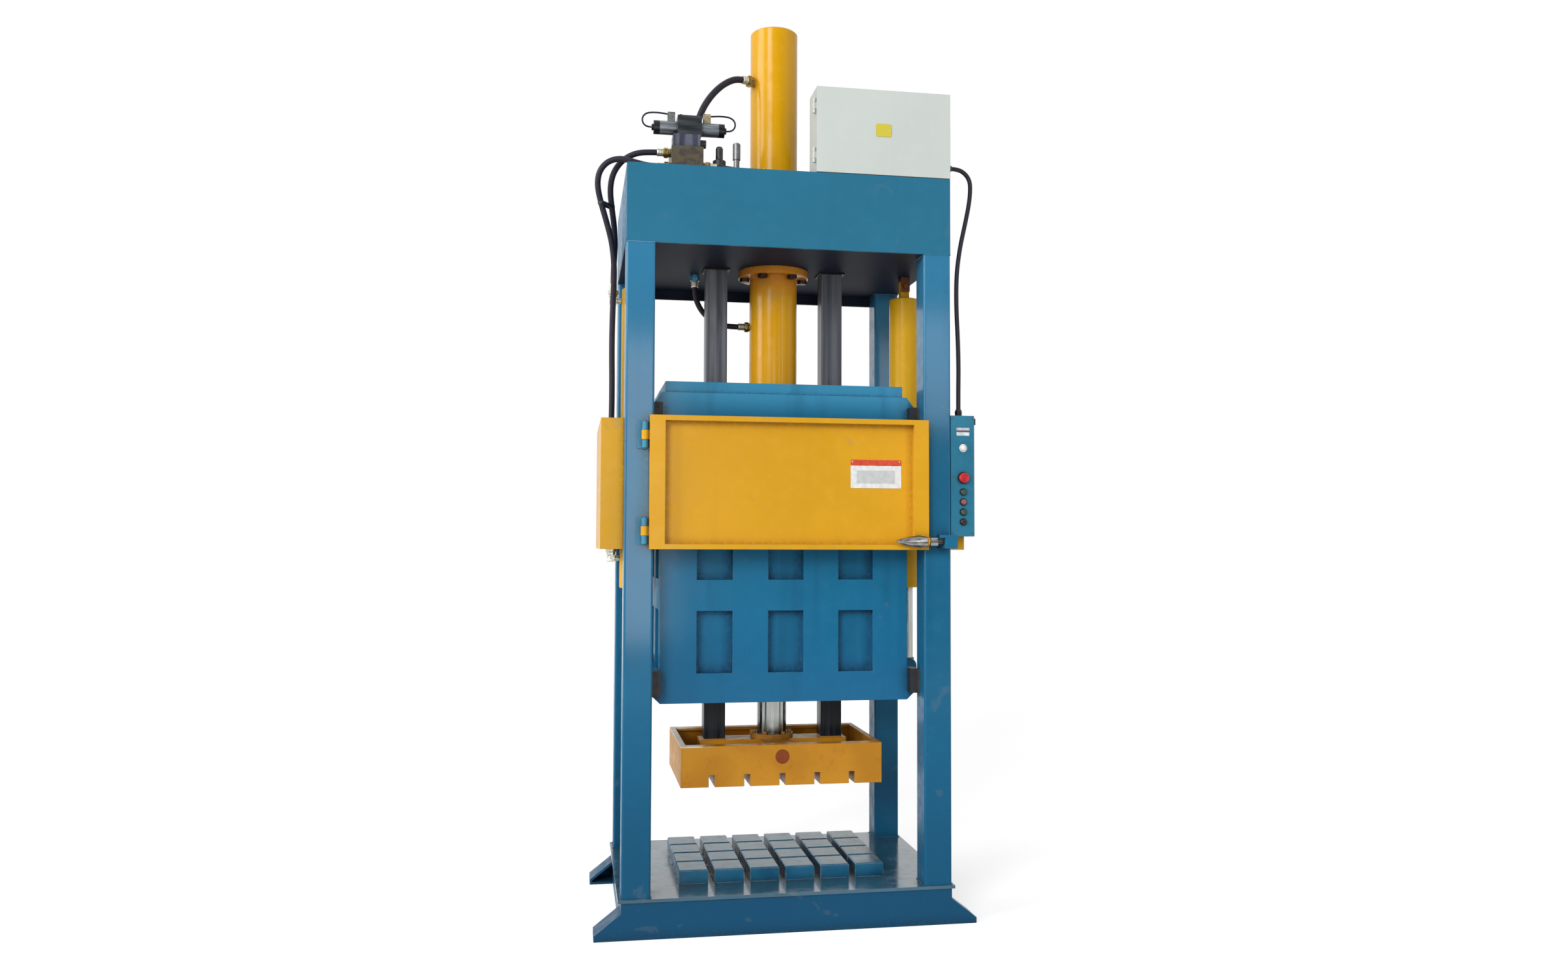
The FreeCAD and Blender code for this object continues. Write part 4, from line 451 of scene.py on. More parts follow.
def platen_look():
    """Orange-yellow press head, browner in its corners as painted shade, its rim rubbed bare and
    lightened as a painted highlight at the left.
    """
    s = Surface("platen_worn_yellow", coat=0.1, specular=0.12)
    broad = s.noise(4, 4)
    fine = s.noise(28, 7, distortion=0.7)
    colour = s.mix(s.span(broad, 0.35, 0.65), shade(182, 122, 28), shade(198, 137, 36))
    colour = s.dirt_and_shade_in_corners(colour, 0.14, 0.45, shade(150, 88, 24))
    colour = s.mix(s.span(fine, 0.56, 0.74, 0, 0.3), colour, shade(150, 92, 34))
    # The rim's top at the left: rubbed bare, and lightened as a painted highlight.
    rim = s.times(s.span(s.axis("Z"), *RIM_HEIGHT), s.span(s.axis("X"), *RIM_BARE_AND_LIT))
    rubbed = s.times(rim, s.span(fine, 0.34, 0.52, 0.25, 1.0))
    edge = s.times(s.edges(0.004), s.span(s.noise(15, 5), 0.45, 0.62, 0.0, 0.25))
    colour = s.mix(edge, colour, shade(214, 180, 120))
    colour = s.mix(rubbed, colour, shade(232, 228, 214))
    return s.grained(colour, fine, (0.3, 0.5), 0.15, 0.0008, 0.003)


def valve_look():
    """Black spool body between two bright grey coils, with painted shade in the corners."""
    s = Surface("spool_valve")
    fine = s.noise(60, 3, stretch=(0.1, 1, 1))
    off = s.off(s.axis("X"), VALVE_MIDDLE)
    body = s.clouded(fine, shade(34, 38, 42), shade(56, 60, 64))
    coil = s.clouded(fine, shade(88, 94, 102), shade(150, 158, 162))
    coil = s.mix(s.span(off, *VALVE_COIL_END), coil, shade(30, 30, 36))
    colour = s.mix(s.span(off, *VALVE_BODY_END), body, coil)
    colour = s.dirt_and_shade_in_corners(colour, 0.02, 0.7, shade(16, 16, 18))
    s.put(s.shader.inputs["Metallic"], s.span(off, *VALVE_BODY_END, 0.0, 0.5))
    return s.grained(colour, fine, (0.24, 0.42), 0.3, 0.0005, 0.0015)


def plug_look():
    """Left plug light grey, right plug beige, with painted shade in the corners."""
    s = Surface("coil_plugs")
    fine = s.noise(160, 4)
    left = s.mix(s.span(fine, *GRAIN_RANGE), shade(72, 80, 80), shade(124, 130, 124))
    right = s.mix(s.span(fine, *GRAIN_RANGE), shade(134, 122, 92), shade(178, 166, 134))
    colour = s.mix(s.span(s.axis("X"), *PLUG_MIDDLE), left, right)
    colour = s.dirt_and_shade_in_corners(colour, 0.015, 0.6, shade(34, 32, 30))
    return s.grained(colour, fine, (0.3, 0.5), 0.2, 0.0004, 0.001)


def door_plate_look():
    """A bare white plate with a red band along its top and a pale grey field."""
    s = Surface("door_plate")
    fine = s.noise(60, 5)
    white = s.clouded(fine, shade(214, 216, 216), shade(232, 232, 230))
    grey = s.clouded(fine, shade(186, 190, 190), shade(200, 202, 202))
    red = s.clouded(fine, shade(196, 58, 34), shade(216, 74, 44))
    x, z = s.axis("X"), s.axis("Z")
    field = s.times(s.within(x, *DOOR_FIELD_X, FIELD_SOFT), s.within(z, *DOOR_FIELD_Z, FIELD_SOFT))
    colour = s.mix(field, white, grey)
    colour = s.mix(s.span(z, *DOOR_BAND), colour, red)
    return s.grained(colour, fine, (0.3, 0.46), 0.1, 0.0003, 0.001)


def tank_fitting_look():
    """A dark breather on a brown foot, a grey switch with a paler stripe, painted shade in corners.
    """
    s = Surface("tank_fittings_dark")
    fine = s.noise(140, 4)
    dark = s.clouded(fine, shade(34, 36, 38), shade(58, 58, 60))
    foot = s.clouded(fine, shade(104, 84, 62), shade(140, 116, 88))
    grey = s.clouded(fine, shade(92, 94, 98), shade(126, 128, 130))
    stripe = s.span(s.off(s.axis("X"), SWITCH_MIDDLE), *SWITCH_STRIPE, 1.0, 0.0)
    grey = s.mix(stripe, grey, shade(196, 196, 192))
    dark = s.mix(s.span(s.axis("Z"), *BREATHER_FOOT, 1.0, 0.0), dark, foot)
    colour = s.mix(s.span(s.axis("X"), *SWITCH_START), dark, grey)
    colour = s.dirt_and_shade_in_corners(colour, 0.015, 0.5, shade(18, 18, 18))
    return s.grained(colour, fine, (0.34, 0.55), 0.25, 0.0004, 0.001)


def fitting_look():
    """Yellow-passivated fittings, light blue overspray on the one under the crosshead, nearly white
    ones at the left lift cylinder, and painted shade in their corners."""
    s = Surface("yellow_passivate", metallic=0.9)
    fine = s.noise(150, 4)
    clouds = s.noise(36, 7, distortion=1.0)
    colour = s.clouded(fine, shade(150, 124, 68), shade(190, 164, 100))
    colour = s.mix(s.span(clouds, 0.5, 0.7, 0, 0.45), colour, shade(84, 66, 34))
    low = s.span(s.axis("Z"), *UNDER_CROSSHEAD)
    back = s.span(s.axis("Y"), *BEHIND_BARREL)
    left = s.span(s.axis("X"), *LEFT_OF_BARREL)
    colour = s.mix(s.times(s.times(low, back), left), colour, shade(96, 158, 196))
    colour = s.mix(s.span(s.axis("X"), *LEFT_LIFT_CYLINDER), colour, shade(214, 212, 200))
    colour = s.dirt_and_shade_in_corners(colour, 0.012, 0.6, shade(30, 26, 20))
    return s.grained(colour, fine, (0.24, 0.42), 0.15, 0.0003, 0.001)


def control_look():
    """Teal sheet with black rings round the buttons, a black gland on top, painted shade in
    corners.
    """
    s = Surface("control_teal", coat=0.1, specular=0.16)
    broad = s.noise(3, 4)
    fine = s.noise(90, 5)
    colour = s.mix(s.span(broad, 0.35, 0.65), shade(36, 106, 134), shade(44, 120, 148))
    colour = s.mix(s.span(fine, 0.5, 0.8, 0, 0.3), colour, shade(62, 136, 162))
    worn = s.times(s.edges(0.003), s.span(s.noise(20, 5), 0.45, 0.6, 0, 0.35))
    colour = s.mix(worn, colour, STEEL_CHIP)
    ring = s.span(s.axis("Y"), *BUTTON_RINGS, 1.0, 0.0)
    gland = s.span(s.axis("Z"), *CABLE_GLAND)
    colour = s.mix(s.calc("MAXIMUM", ring, gland), colour, shade(30, 31, 34))
    colour = s.dirt_and_shade_in_corners(colour, 0.02, 0.4, shade(20, 36, 42))
    return s.grained(colour, fine, (0.32, 0.46), 0.12, 0.0004, 0.0015)


def under_look():
    """Even blue-black on the face that looks down over the barrel: blue paint darkened as painted
    shade.
    """
    s = Surface("crosshead_underside_shaded", specular=0.03)
    broad = s.noise(1.2, 2)
    colour = s.mix(s.span(broad, 0.35, 0.65), shade(28, 33, 47), shade(40, 47, 62))
    return s.finish(colour, s.span(broad, 0.3, 0.7, 0.45, 0.55), s.noise(90, 2), 0.04, 0.0003)


def valve_block_look(name, dark, pale, third, stretch):
    """A worn valve block: plating and paint in patches, darker in its corners as painted shade."""
    s = Surface(name, coat=0.05, specular=0.3)
    patches = s.noise(26, 3, stretch=stretch)
    fine = s.noise(140, 4)
    colour = s.mix(s.span(patches, 0.4, 0.6), dark, pale)
    colour = s.mix(s.span(s.noise(19, 2, stretch=stretch), 0.5, 0.62, 0, 0.8), colour, third)
    colour = s.mix(s.span(fine, 0.45, 0.75, 0, 0.4), colour, scaled(dark, 0.6))
    colour = s.dirt_and_shade_in_corners(colour, 0.02, 0.6, shade(22, 20, 24))
    return s.grained(colour, fine, (0.3, 0.5), 0.2, 0.0005, 0.0015)


def label_look():
    """A bare pale strip with a dark line along its foot."""
    s = Surface("control_strip")
    fine = s.noise(80, 4)
    pale = s.clouded(fine, shade(176, 180, 192), shade(204, 206, 214))
    colour = s.mix(s.span(s.axis("Z"), *STRIP_FOOT, 1.0, 0.0), pale, shade(92, 62, 70))
    return s.grained(colour, fine, (0.3, 0.46), 0.1, 0.0003, 0.001)


looks.update({
    "under": under_look(),
    "manifold": valve_block_look("manifold_plated", shade(72, 67, 64), shade(98, 86, 64),
                                 shade(88, 88, 76), (1.2, 1.2, 1.6)),
    "sandwich": valve_block_look("sandwich_slate", shade(46, 48, 66), shade(96, 102, 118),
                                 shade(58, 56, 76), (1.6, 1, 0.1)),
    "label": label_look(),
    "control": control_look(),
    "block": block_look(),
    "guide": guide_look(),
    "platen": platen_look(),
    "valve": valve_look(),
    "plug": plug_look(),
    "door_plate": door_plate_look(),
    "tank_fitting": tank_fitting_look(),
    "fitting": fitting_look(),
})

node_looks = {
    "frame": "base_frame crosshead_frame latch_keeper",
    "post": "posts",
    "cover": "crosshead_front_cover",
    "top": "crosshead_top_plate",
    "under": "crosshead_bottom_plate",
    "platform": "platform_plate",
    "block": "platform_blocks",
    "chamber": "chamber_shell chamber_end_frames chamber_side_frames",
    "yellow": "side_panels rear_panel feed_door",
    "barrel": "main_cylinder main_cylinder_gland",
    "platen": "platen",
    "lift": "lift_cylinders",
    "hinge": "hinge_brackets",
    "clevis": "lift_clevises",
    "guide": "guide_bars",
    "rod": "main_rod lift_rods",
    "handle": "latch_handle",
    "machined": "main_piston motor_shaft lift_rod_pins",
    "bolt": "flange_bolts",
    "collar": "rod_collar",
    "pin": "platen_pin",
    "bronze": "guide_bushes",
    "tank": "oil_tank",
    "tank_fitting": "tank_fittings",
    "black": "selector_knob relief_knob",
    "shoe": "guide_shoes",
    "cabinet": "cabinet_body cabinet_door",
    "control": "control_box",
    "red": "emergency_stop",
    "dull_red": "ram_down_button",
    "green": "ram_up_button chamber_up_button",
    "dark": "chamber_down_button",
    "lens": "indicator_lamp",
    "manifold": "valve_manifold",
    "sandwich": "relief_valve",
    "valve": "directional_valve",
    "plug": "solenoid_plugs",
    "iron": "hydraulic_pump",
    "motor": "motor_housing",
    "fitting": "hose_fittings",
    "rubber": ("top_hose lift_hose_upper lift_hose_lower ram_return_hose pressure_hose "
               "control_cable"),
    "lead": "solenoid_leads",
}
for look, names in node_looks.items():
    for name in names.split():
        data = nodes[name].data
        data.materials.clear()
        data.materials.append(looks[look])

# ---------------- mesh helpers


def piece(name, mesh, body, look, sharp=35):
    """Makes an object of a bmesh, gives it its look and lets it ride on its body."""
    bmesh.ops.recalc_face_normals(mesh, faces=mesh.faces)
    data = bpy.data.meshes.new(name)
    mesh.to_mesh(data)
    mesh.free()
    data.materials.append(looks[look])
    data.shade_smooth()
    data.set_sharp_from_angle(angle=math.radians(sharp))
    made = add_object(name, data)
    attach(made, body)
    return made


def turned(mesh, profile, start, direction, sides=28, closed=False):
    """Turns a (radius, height) profile about an axis from start, which is in metres."""
    turn = Vector(direction).normalized().to_track_quat("Z", "Y").to_matrix()
    rings = []
    for radius, height in profile:
        if radius == 0:
            rings.append([mesh.verts.new(start + turn @ mm(0, 0, height))])
            continue
        ring = []
        for k in range(sides):
            angle = 2 * math.pi * k / sides
            spoke = mm(radius * math.cos(angle), radius * math.sin(angle), height)
            ring.append(mesh.verts.new(start + turn @ spoke))
        rings.append(ring)
    pairs = list(zip(rings, rings[1:])) + ([(rings[-1], rings[0])] if closed else [])
    for lower, upper in pairs:
        for k in range(max(len(lower), len(upper))):
            corners = [lower[k % len(lower)], lower[(k + 1) % len(lower)],
                       upper[(k + 1) % len(upper)], upper[k % len(upper)]]
            mesh.faces.new(list(dict.fromkeys(corners)))


def join(mesh, a, b):
    """Faces between two rings of as many corners."""
    for k in range(len(a)):
        j = (k + 1) % len(a)
        mesh.faces.new((a[k], a[j], b[j], b[k]))


def loop(mesh, points, section):
    """Sweeps a section, a list of (out, up) offsets in millimetres, along a closed level path."""
    up = Vector((0, 0, 1))
    rings = []
    for k, point in enumerate(points):
        along = (points[(k + 1) % len(points)] - points[k - 1]).normalized()
        out = along.cross(up)
        rings.append([mesh.verts.new(point + (out * a + up * b) / 1000) for a, b in section])
    for k, ring in enumerate(rings):
        join(mesh, ring, rings[(k + 1) % len(rings)])


WELD_STEP, WELD_SIDES = 7.0, 6
WELD_TROUGH, WELD_RIPPLE, WELD_UNEVEN = 0.82, 0.18, 0.08


def weld(mesh, corners, radius, closed=True):
    """A weld bead with its ripples along the lines between corners, in millimetres."""
    corners = [Vector(corner) for corner in corners]
    for start, end in zip(corners, corners[1:] + (corners[:1] if closed else [])):
        along = (end - start).normalized()
        side = along.orthogonal().normalized()
        other = along.cross(side)
        count = max(2, int((end - start).length / WELD_STEP))
        rings = []
        for k in range(count + 1):
            swell = WELD_TROUGH + WELD_RIPPLE * (k % 2) + random.uniform(-WELD_UNEVEN, WELD_UNEVEN)
            swell *= radius
            centre = start.lerp(end, k / count)
            ring = []
            for j in range(WELD_SIDES):
                angle = 2 * math.pi * j / WELD_SIDES
                spot = centre + side * swell * math.cos(angle) + other * swell * math.sin(angle)
                ring.append(mesh.verts.new(spot / 1000))
            rings.append(ring)
        for a, b in zip(rings, rings[1:]):
            join(mesh, a, b)
        mesh.faces.new(rings[0][::-1])
        mesh.faces.new(rings[-1])


def grid(rows):
    """Each place of the first row with each of the second."""
    return [(a, b) for a in rows[0] for b in rows[1]]


def rectangle(x0, x1, y0, y1, z):
    """Corners of a level rectangle."""
    return [(x0, y0, z), (x1, y0, z), (x1, y1, z), (x0, y1, z)]


def upright(x0, x1, z0, z1, y):
    """Corners of an upright rectangle that faces the front."""
    return [(x0, y, z0), (x1, y, z0), (x1, y, z1), (x0, y, z1)]


ARC_STEPS = 4
PLATE_CHAMFER = 0.4


def plate(mesh, x0, x1, z0, z1, y, thickness, corner):
    """A thin plate with round corners that lies against the surface at y and faces the front."""
    outline = []
    for x, z, start in ((x1 - corner, z1 - corner, 0), (x0 + corner, z1 - corner, 90),
                        (x0 + corner, z0 + corner, 180), (x1 - corner, z0 + corner, 270)):
        for step in range(ARC_STEPS + 1):
            angle = math.radians(start + 90 * step / ARC_STEPS)
            outline.append((x + corner * math.cos(angle), z + corner * math.sin(angle)))
    middle = Vector(((x0 + x1) / 2, (z0 + z1) / 2))
    rings = []
    for depth, inset in ((0, 0), (thickness * 0.7, 0), (thickness, PLATE_CHAMFER)):
        ring = []
        for x, z in outline:
            inward = (middle - Vector((x, z))).normalized() * inset
            ring.append(mesh.verts.new(mm(x + inward.x, y - depth, z + inward.y)))
        rings.append(ring)
    for a, b in zip(rings, rings[1:]):
        join(mesh, a, b)
    mesh.faces.new(rings[0])
    mesh.faces.new(rings[-1])


FORWARD = (0, -1, 0)


def rivet(mesh, x, y, z, radius):
    """A domed rivet head on a surface that faces the front."""
    profile = [(radius, 0), (radius * 0.95, radius * 0.3), (radius * 0.6, radius * 0.55),
               (0, radius * 0.65)]
    turned(mesh, profile, mm(x, y, z), FORWARD, sides=14)


def socket_screw(mesh, x, y, z, radius, height, direction=(0, 0, 1)):
    """A cap screw with its sunk socket."""
    socket = radius * 0.55
    profile = [(radius, 0), (radius, height * 0.9), (radius * 0.93, height), (socket, height),
               (socket, height * 0.4), (0, height * 0.3)]
    turned(mesh, profile, mm(x, y, z), direction, sides=18)


# ---------------- cords

HOSE_RINGS = 14
THIN_CORD = 10
# name: (node it replaces, diameter, length, look, stiffness, lay, points), in millimetres
cords = {
    "top_hose_run": ("top_hose", 28, 461, "rubber", "stiff", "loose", [
        (-123.26, -57.48, 3478), (-166.76, -77.77, 3478), (-214, -95, 3455), (-262, -110, 3413),
        (-305, -121, 3356), (-337, -128, 3290), (-352, -130, 3216), (-352, -130, 3143)]),
    "lift_hose_upper_run": ("lift_hose_upper", 24, 731, "rubber", "stiff", "hanging", [
        (-491, -208, 3098), (-548, -208, 3098), (-609, -206, 3090), (-661, -198, 3059),
        (-696, -184, 3010), (-707, -165, 2948), (-698, -140, 2878), (-685, -104, 2804),
        (-680, -60, 2740), (-683, -20, 2676), (-684, 0, 2618), (-684, 0, 2563)]),
    "lift_hose_lower_run": ("lift_hose_lower", 24, 1842, "rubber", "stiff", "hanging", [
        (-491, -240, 3030), (-550, -240, 3030), (-608, -240, 3042), (-661, -236, 3057),
        (-714, -229, 3047), (-751, -217, 3009), (-760, -202, 2955), (-745, -184, 2890),
        (-718, -160, 2810), (-693, -131, 2725), (-683, -99, 2625), (-687, -70, 2500),
        (-690, -50, 2330), (-686, -38, 2130), (-689, -24, 1910), (-686, -7, 1710), (-684, 0, 1585),
        (-684, 0, 1479)]),
    "ram_return_hose_run": ("ram_return_hose", 24, 343, "rubber", "stiff", "hanging", [
        (-330, 100, 2638), (-330, 100, 2594), (-319, 100, 2542), (-290, 99, 2496), (-247, 98, 2462),
        (-198, 97, 2446), (-151, 96.66, 2444), (-110.68, 96.66, 2444)]),
    "pressure_hose_run": ("pressure_hose", 18, 602, "rubber", "stiff", "loose", [
        (-305, -246, 3040), (-262, -246, 3040), (-196, -253, 3031), (-124, -265, 3013),
        (-46, -275, 2998), (40, -280, 2992), (122, -278, 2992), (196, -270, 2997),
        (248, -262, 3002), (290, -262, 3002)]),
    "control_cable_run": ("control_cable", 18, 1071, "rubber", "medium", "hanging", [
        (673, -378.5, 3045), (709, -378.5, 3045), (740, -381, 3027), (758, -385, 2996),
        (758, -390, 2950), (749, -396, 2888), (730, -402, 2806), (707, -407, 2710),
        (691, -410, 2600), (690, -409, 2470), (697, -407, 2340), (700, -407, 2220),
        (698, -408.5, 2120), (698, -408.5, 2038)]),
    "solenoid_lead_left": ("solenoid_leads", 7, 175, "lead", "medium", "loose", [
        (-476.5, -208, 3259.94), (-500.5, -208, 3262.94), (-531.5, -208, 3263.94),
        (-562.5, -208, 3259.94), (-579.47, -208, 3242.97), (-579.47, -208, 3218.97),
        (-562.5, -208, 3202), (-541.5, -208, 3202)]),
    "solenoid_lead_right": ("solenoid_leads", 7, 175, "lead", "medium", "loose", [
        (-299.5, -208, 3259.94), (-275.5, -208, 3262.94), (-244.5, -208, 3263.94),
        (-213.5, -208, 3259.94), (-196.53, -208, 3242.97), (-196.53, -208, 3218.97),
        (-213.5, -208, 3202), (-234.5, -208, 3202)]),
}
SLEEVE_BITE, SLEEVE_WALL = 0.6, 3.2
TIE_HEIGHT, TIE_RISE = 2880.0, 5.0
TIE_CENTRES = ((-700.5, -143.5), (-741.0, -181.0))
TIE_INNER, TIE_THICK, TIE_HALF, TIE_CHAMFER = 12.2, 3.0, 6.0, 0.6
TIE_STEPS = 8


def ends_of(points):
    """Each end of a cord with the point next to it."""
    return (points[0], points[1]), (points[-1], points[-2])


def hose_ends(name, radius, points):
    """The crimped sleeve on each end of a hose."""
    mesh = bmesh.new()
    inner, outer = radius - SLEEVE_BITE, radius + SLEEVE_WALL
    groove = outer - 1.2
    profile = [(inner, -1), (outer - 0.8, -1), (outer, 0.5), (outer, 7), (groove, 8.2),
               (groove, 10.2), (outer, 11.4), (outer, 16), (groove, 17.2), (groove, 19.2),
               (outer, 20.4), (outer, 26), (outer - 1.4, 28), (inner, 28.6)]
    for here, there in ends_of(points):
        turned(mesh, profile, mm(*here), Vector(there) - Vector(here), sides=30, closed=True)
    return piece(name.replace("_run", "_ferrules"), mesh, "frame", "zinc")


def cable_glands(points):
    """The six-sided gland nuts on the cable, each with its dome."""
    mesh = bmesh.new()
    nut = [(8.6, 0.5), (15.4, 0.5), (15.4, -9), (8.6, -9)]
    dome = [(8.6, 0), (13.0, 0.2), (12.4, 5.5), (10.0, 8.5), (8.6, 9.0)]
    for here, there in ends_of(points):
        along = -(Vector(here) - Vector(there)).normalized()
        turned(mesh, nut, mm(*here), along, sides=6, closed=True)
        turned(mesh, dome, mm(*here), along, sides=26, closed=True)
    return piece("control_cable_glands", mesh, "frame", "black")


def hose_tie():
    """The strap that holds the two left-hand hoses together."""
    (ax, ay), (bx, by) = TIE_CENTRES
    along = math.atan2(by - ay, bx - ax)
    points = []
    for cx, cy, start in ((bx, by, along - math.pi / 2), (ax, ay, along + math.pi / 2)):
        lift = TIE_RISE * (cx - ax) / (bx - ax)
        for step in range(TIE_STEPS + 1):
            angle = start + math.pi * step / TIE_STEPS
            points.append(mm(cx + TIE_INNER * math.cos(angle), cy + TIE_INNER * math.sin(angle),
                             TIE_HEIGHT + lift))
    mesh = bmesh.new()
    face = TIE_HALF - TIE_CHAMFER
    loop(mesh, points, [(0, -TIE_HALF), (TIE_THICK, -face), (TIE_THICK, face), (0, TIE_HALF)])
    return piece("hose_tie", mesh, "frame", "black", sharp=50)


def add_cords():
    for name, (node, diameter, length, look, stiffness, lay, points) in cords.items():
        curve = bpy.data.curves.new(name, "CURVE")
        curve.dimensions = "3D"
        curve.bevel_depth = diameter / 2000
        curve.bevel_resolution = 5 if diameter > THIN_CORD else 3
        curve.resolution_u = HOSE_RINGS
        curve.use_fill_caps = True
        spline = curve.splines.new("NURBS")
        spline.points.add(len(points) - 1)
        for spot, point in zip(spline.points, points):
            spot.co = (*mm(*point), 1)
        spline.order_u = 3
        spline.use_endpoint_u = True
        curve.materials.append(looks[look])
        made = add_object(name, curve)
        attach(made, "frame")
        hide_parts(node)
        if stiffness == "stiff":
            hose_ends(name, diameter / 2, points)
        if name == "control_cable_run":
            cable_glands(points)
        if name == "lift_hose_lower_run":
            hose_tie()


add_cords()

# ---------------- welds

PLATFORM_TOP = 152.5
CROSSHEAD_BOTTOM = 2666.0
POST_X, POST_Y = (538.0, 650.0), (346.5, 458.5)
BLOCK_COLUMNS, BLOCK_ROWS, BLOCK_STEPS = 6, 4, (143.0, 144.0)
BLOCK_FRONT, BLOCK_SIDE = (50, 65.5), (45, 58.5)
WINDOW_COLUMNS, WINDOW_HALF = (-286, 0, 286), 71.5
WINDOW_SILLS, WINDOW_HEIGHT, WINDOW_FACES = (987, 1355, 1723), 245, (-297.0, 297.0)
BARREL_RADIUS, FLANGE_FOOT, FLANGE_STEPS = 102, 2636.0, 48
GUIDE_X, GUIDE_HALF, GUIDE_FOOT = 249, 45, 680.5
POST_BEAD, BEAM_BEAD, BLOCK_BEAD = 4.0, 3.5, 3.0
WINDOW_BEAD, FLANGE_BEAD, GUIDE_BEAD = 3.2, 5.0, 3.5


def weld_posts():
    mesh = bmesh.new()
    for side, end in grid(((-1, 1), (-1, 1))):
        x0, x1 = sorted(side * x for x in POST_X)
        y0, y1 = sorted(end * y for y in POST_Y)
        weld(mesh, rectangle(x0, x1, y0, y1, PLATFORM_TOP), POST_BEAD)
        weld(mesh, rectangle(x0 + 1, x1 - 1, y0 + 1, y1 - 1, CROSSHEAD_BOTTOM), BEAM_BEAD)
    piece("post_welds", mesh, "frame", "post")


def weld_blocks():
    """A bead along the front and the left side of each block."""
    mesh = bmesh.new()
    z = PLATFORM_TOP
    for column, row in grid((range(BLOCK_COLUMNS), range(BLOCK_ROWS))):
        x = (column - (BLOCK_COLUMNS - 1) / 2) * BLOCK_STEPS[0]
        y = (row - (BLOCK_ROWS - 1) / 2) * BLOCK_STEPS[1]
        half, out = BLOCK_FRONT
        weld(mesh, [(x - half, y - out, z), (x + half, y - out, z)], BLOCK_BEAD, closed=False)
        half, out = BLOCK_SIDE
        weld(mesh, [(x - out, y - half, z), (x - out, y + half, z)], BLOCK_BEAD, closed=False)
    piece("block_welds", mesh, "frame", "platform")


def weld_windows():
    mesh = bmesh.new()
    for x, z in grid((WINDOW_COLUMNS, WINDOW_SILLS)):
        for y in WINDOW_FACES:
            edge = upright(x - WINDOW_HALF, x + WINDOW_HALF, z, z + WINDOW_HEIGHT, y)
            weld(mesh, edge, WINDOW_BEAD)
    piece("window_welds", mesh, "chamber", "chamber")


def weld_flange():
    mesh = bmesh.new()
    ring = []
    for k in range(FLANGE_STEPS):
        angle = 2 * math.pi * k / FLANGE_STEPS
        ring.append((BARREL_RADIUS * math.cos(angle), BARREL_RADIUS * math.sin(angle), FLANGE_FOOT))
    weld(mesh, ring, FLANGE_BEAD)
    piece("flange_weld", mesh, "frame", "barrel", sharp=60)


def weld_guide_bars():
    mesh = bmesh.new()
    half = GUIDE_HALF
    for x in (-GUIDE_X, GUIDE_X):
        weld(mesh, rectangle(x - half, x + half, -half, half, GUIDE_FOOT), GUIDE_BEAD)
    piece("guide_bar_welds", mesh, "ram", "platen")


weld_posts()
weld_blocks()
weld_windows()
weld_flange()
weld_guide_bars()

# ---------------- plates, rivets and screws

# Y of the fronts of the cabinet and the control box, and of the door's sheet.
FRONT, DOOR_SHEET = -458.5, -466.5
# Plates are (left, right, foot, top). Rivets and screws are rows of X and of Z or Y.
DOOR_PLATE, DOOR_RIVETS = (236, 442, 1719, 1831), ((243, 435), (1725.5, 1824.5))
CABINET_PLATE, CABINET_RIVETS = (341, 405, 3134, 3186), ((346, 400), (3160,))
UPPER_STRIP, LOWER_STRIP = (674, 728, 1953, 1967), (674, 728, 1935, 1949)
STRIP_RIVETS = ((677.5, 724.5), (1942, 1960))
CONTROL_SCREWS = ((657, 741), (1542, 1773, 2004))
VALVE_SCREWS, VALVE_TOP = ((-424, -352), (-236, -180)), 3247
PLATE_THICK, STRIP_THICK = 1.2, 1.0
# How far the rivets' heads stand from the sheet.
PLATE_SEAT, STRIP_SEAT = 1.1, 0.9


def blank_plate(name, outline, y, thickness, corner, body, look):
    mesh = bmesh.new()
    plate(mesh, *outline, y, thickness, corner)
    piece(name, mesh, body, look, sharp=20)


def add_plates():
    """The bare plates on the feed door and the cabinet's door, with their rivets."""
    for name, outline, places, radius, y, corner, body, slot, look in (
            ("door", DOOR_PLATE, DOOR_RIVETS, 3.0, DOOR_SHEET, 4,
             "door", "cabinet_paint", "door_plate"),
            ("cabinet", CABINET_PLATE, CABINET_RIVETS, 2.4, FRONT, 6,
             "cabinet_lid", "yellow_paint", "mark")):
        blank_plate(name + "_blank_plate", outline, y, PLATE_THICK, corner, body, look)
        mesh = bmesh.new()
        for x, z in grid(places):
            rivet(mesh, x, y - PLATE_SEAT, z, radius)
        piece(name + "_plate_rivets", mesh, body, "zinc")


def add_control_plates():
    for name, outline, look in (("control_plate_upper", UPPER_STRIP, "label"),
                                ("control_plate_lower", LOWER_STRIP, "white")):
        blank_plate(name, outline, FRONT, STRIP_THICK, 2, "frame", look)
    mesh = bmesh.new()
    for x, z in grid(STRIP_RIVETS):
        rivet(mesh, x, FRONT - STRIP_SEAT, z, 1.5)
    for x, z in grid(CONTROL_SCREWS):
        socket_screw(mesh, x, FRONT, z, 3.4, 2.4, FORWARD)
    piece("control_screws", mesh, "frame", "machined")


def add_valve_screws():
    mesh = bmesh.new()
    for x, y in grid(VALVE_SCREWS):
        socket_screw(mesh, x, y, VALVE_TOP, 5.0, 5.0)
    piece("valve_screws", mesh, "frame", "bolt")


add_plates()
add_control_plates()
add_valve_screws()

# ---------------- floor, world and lamps


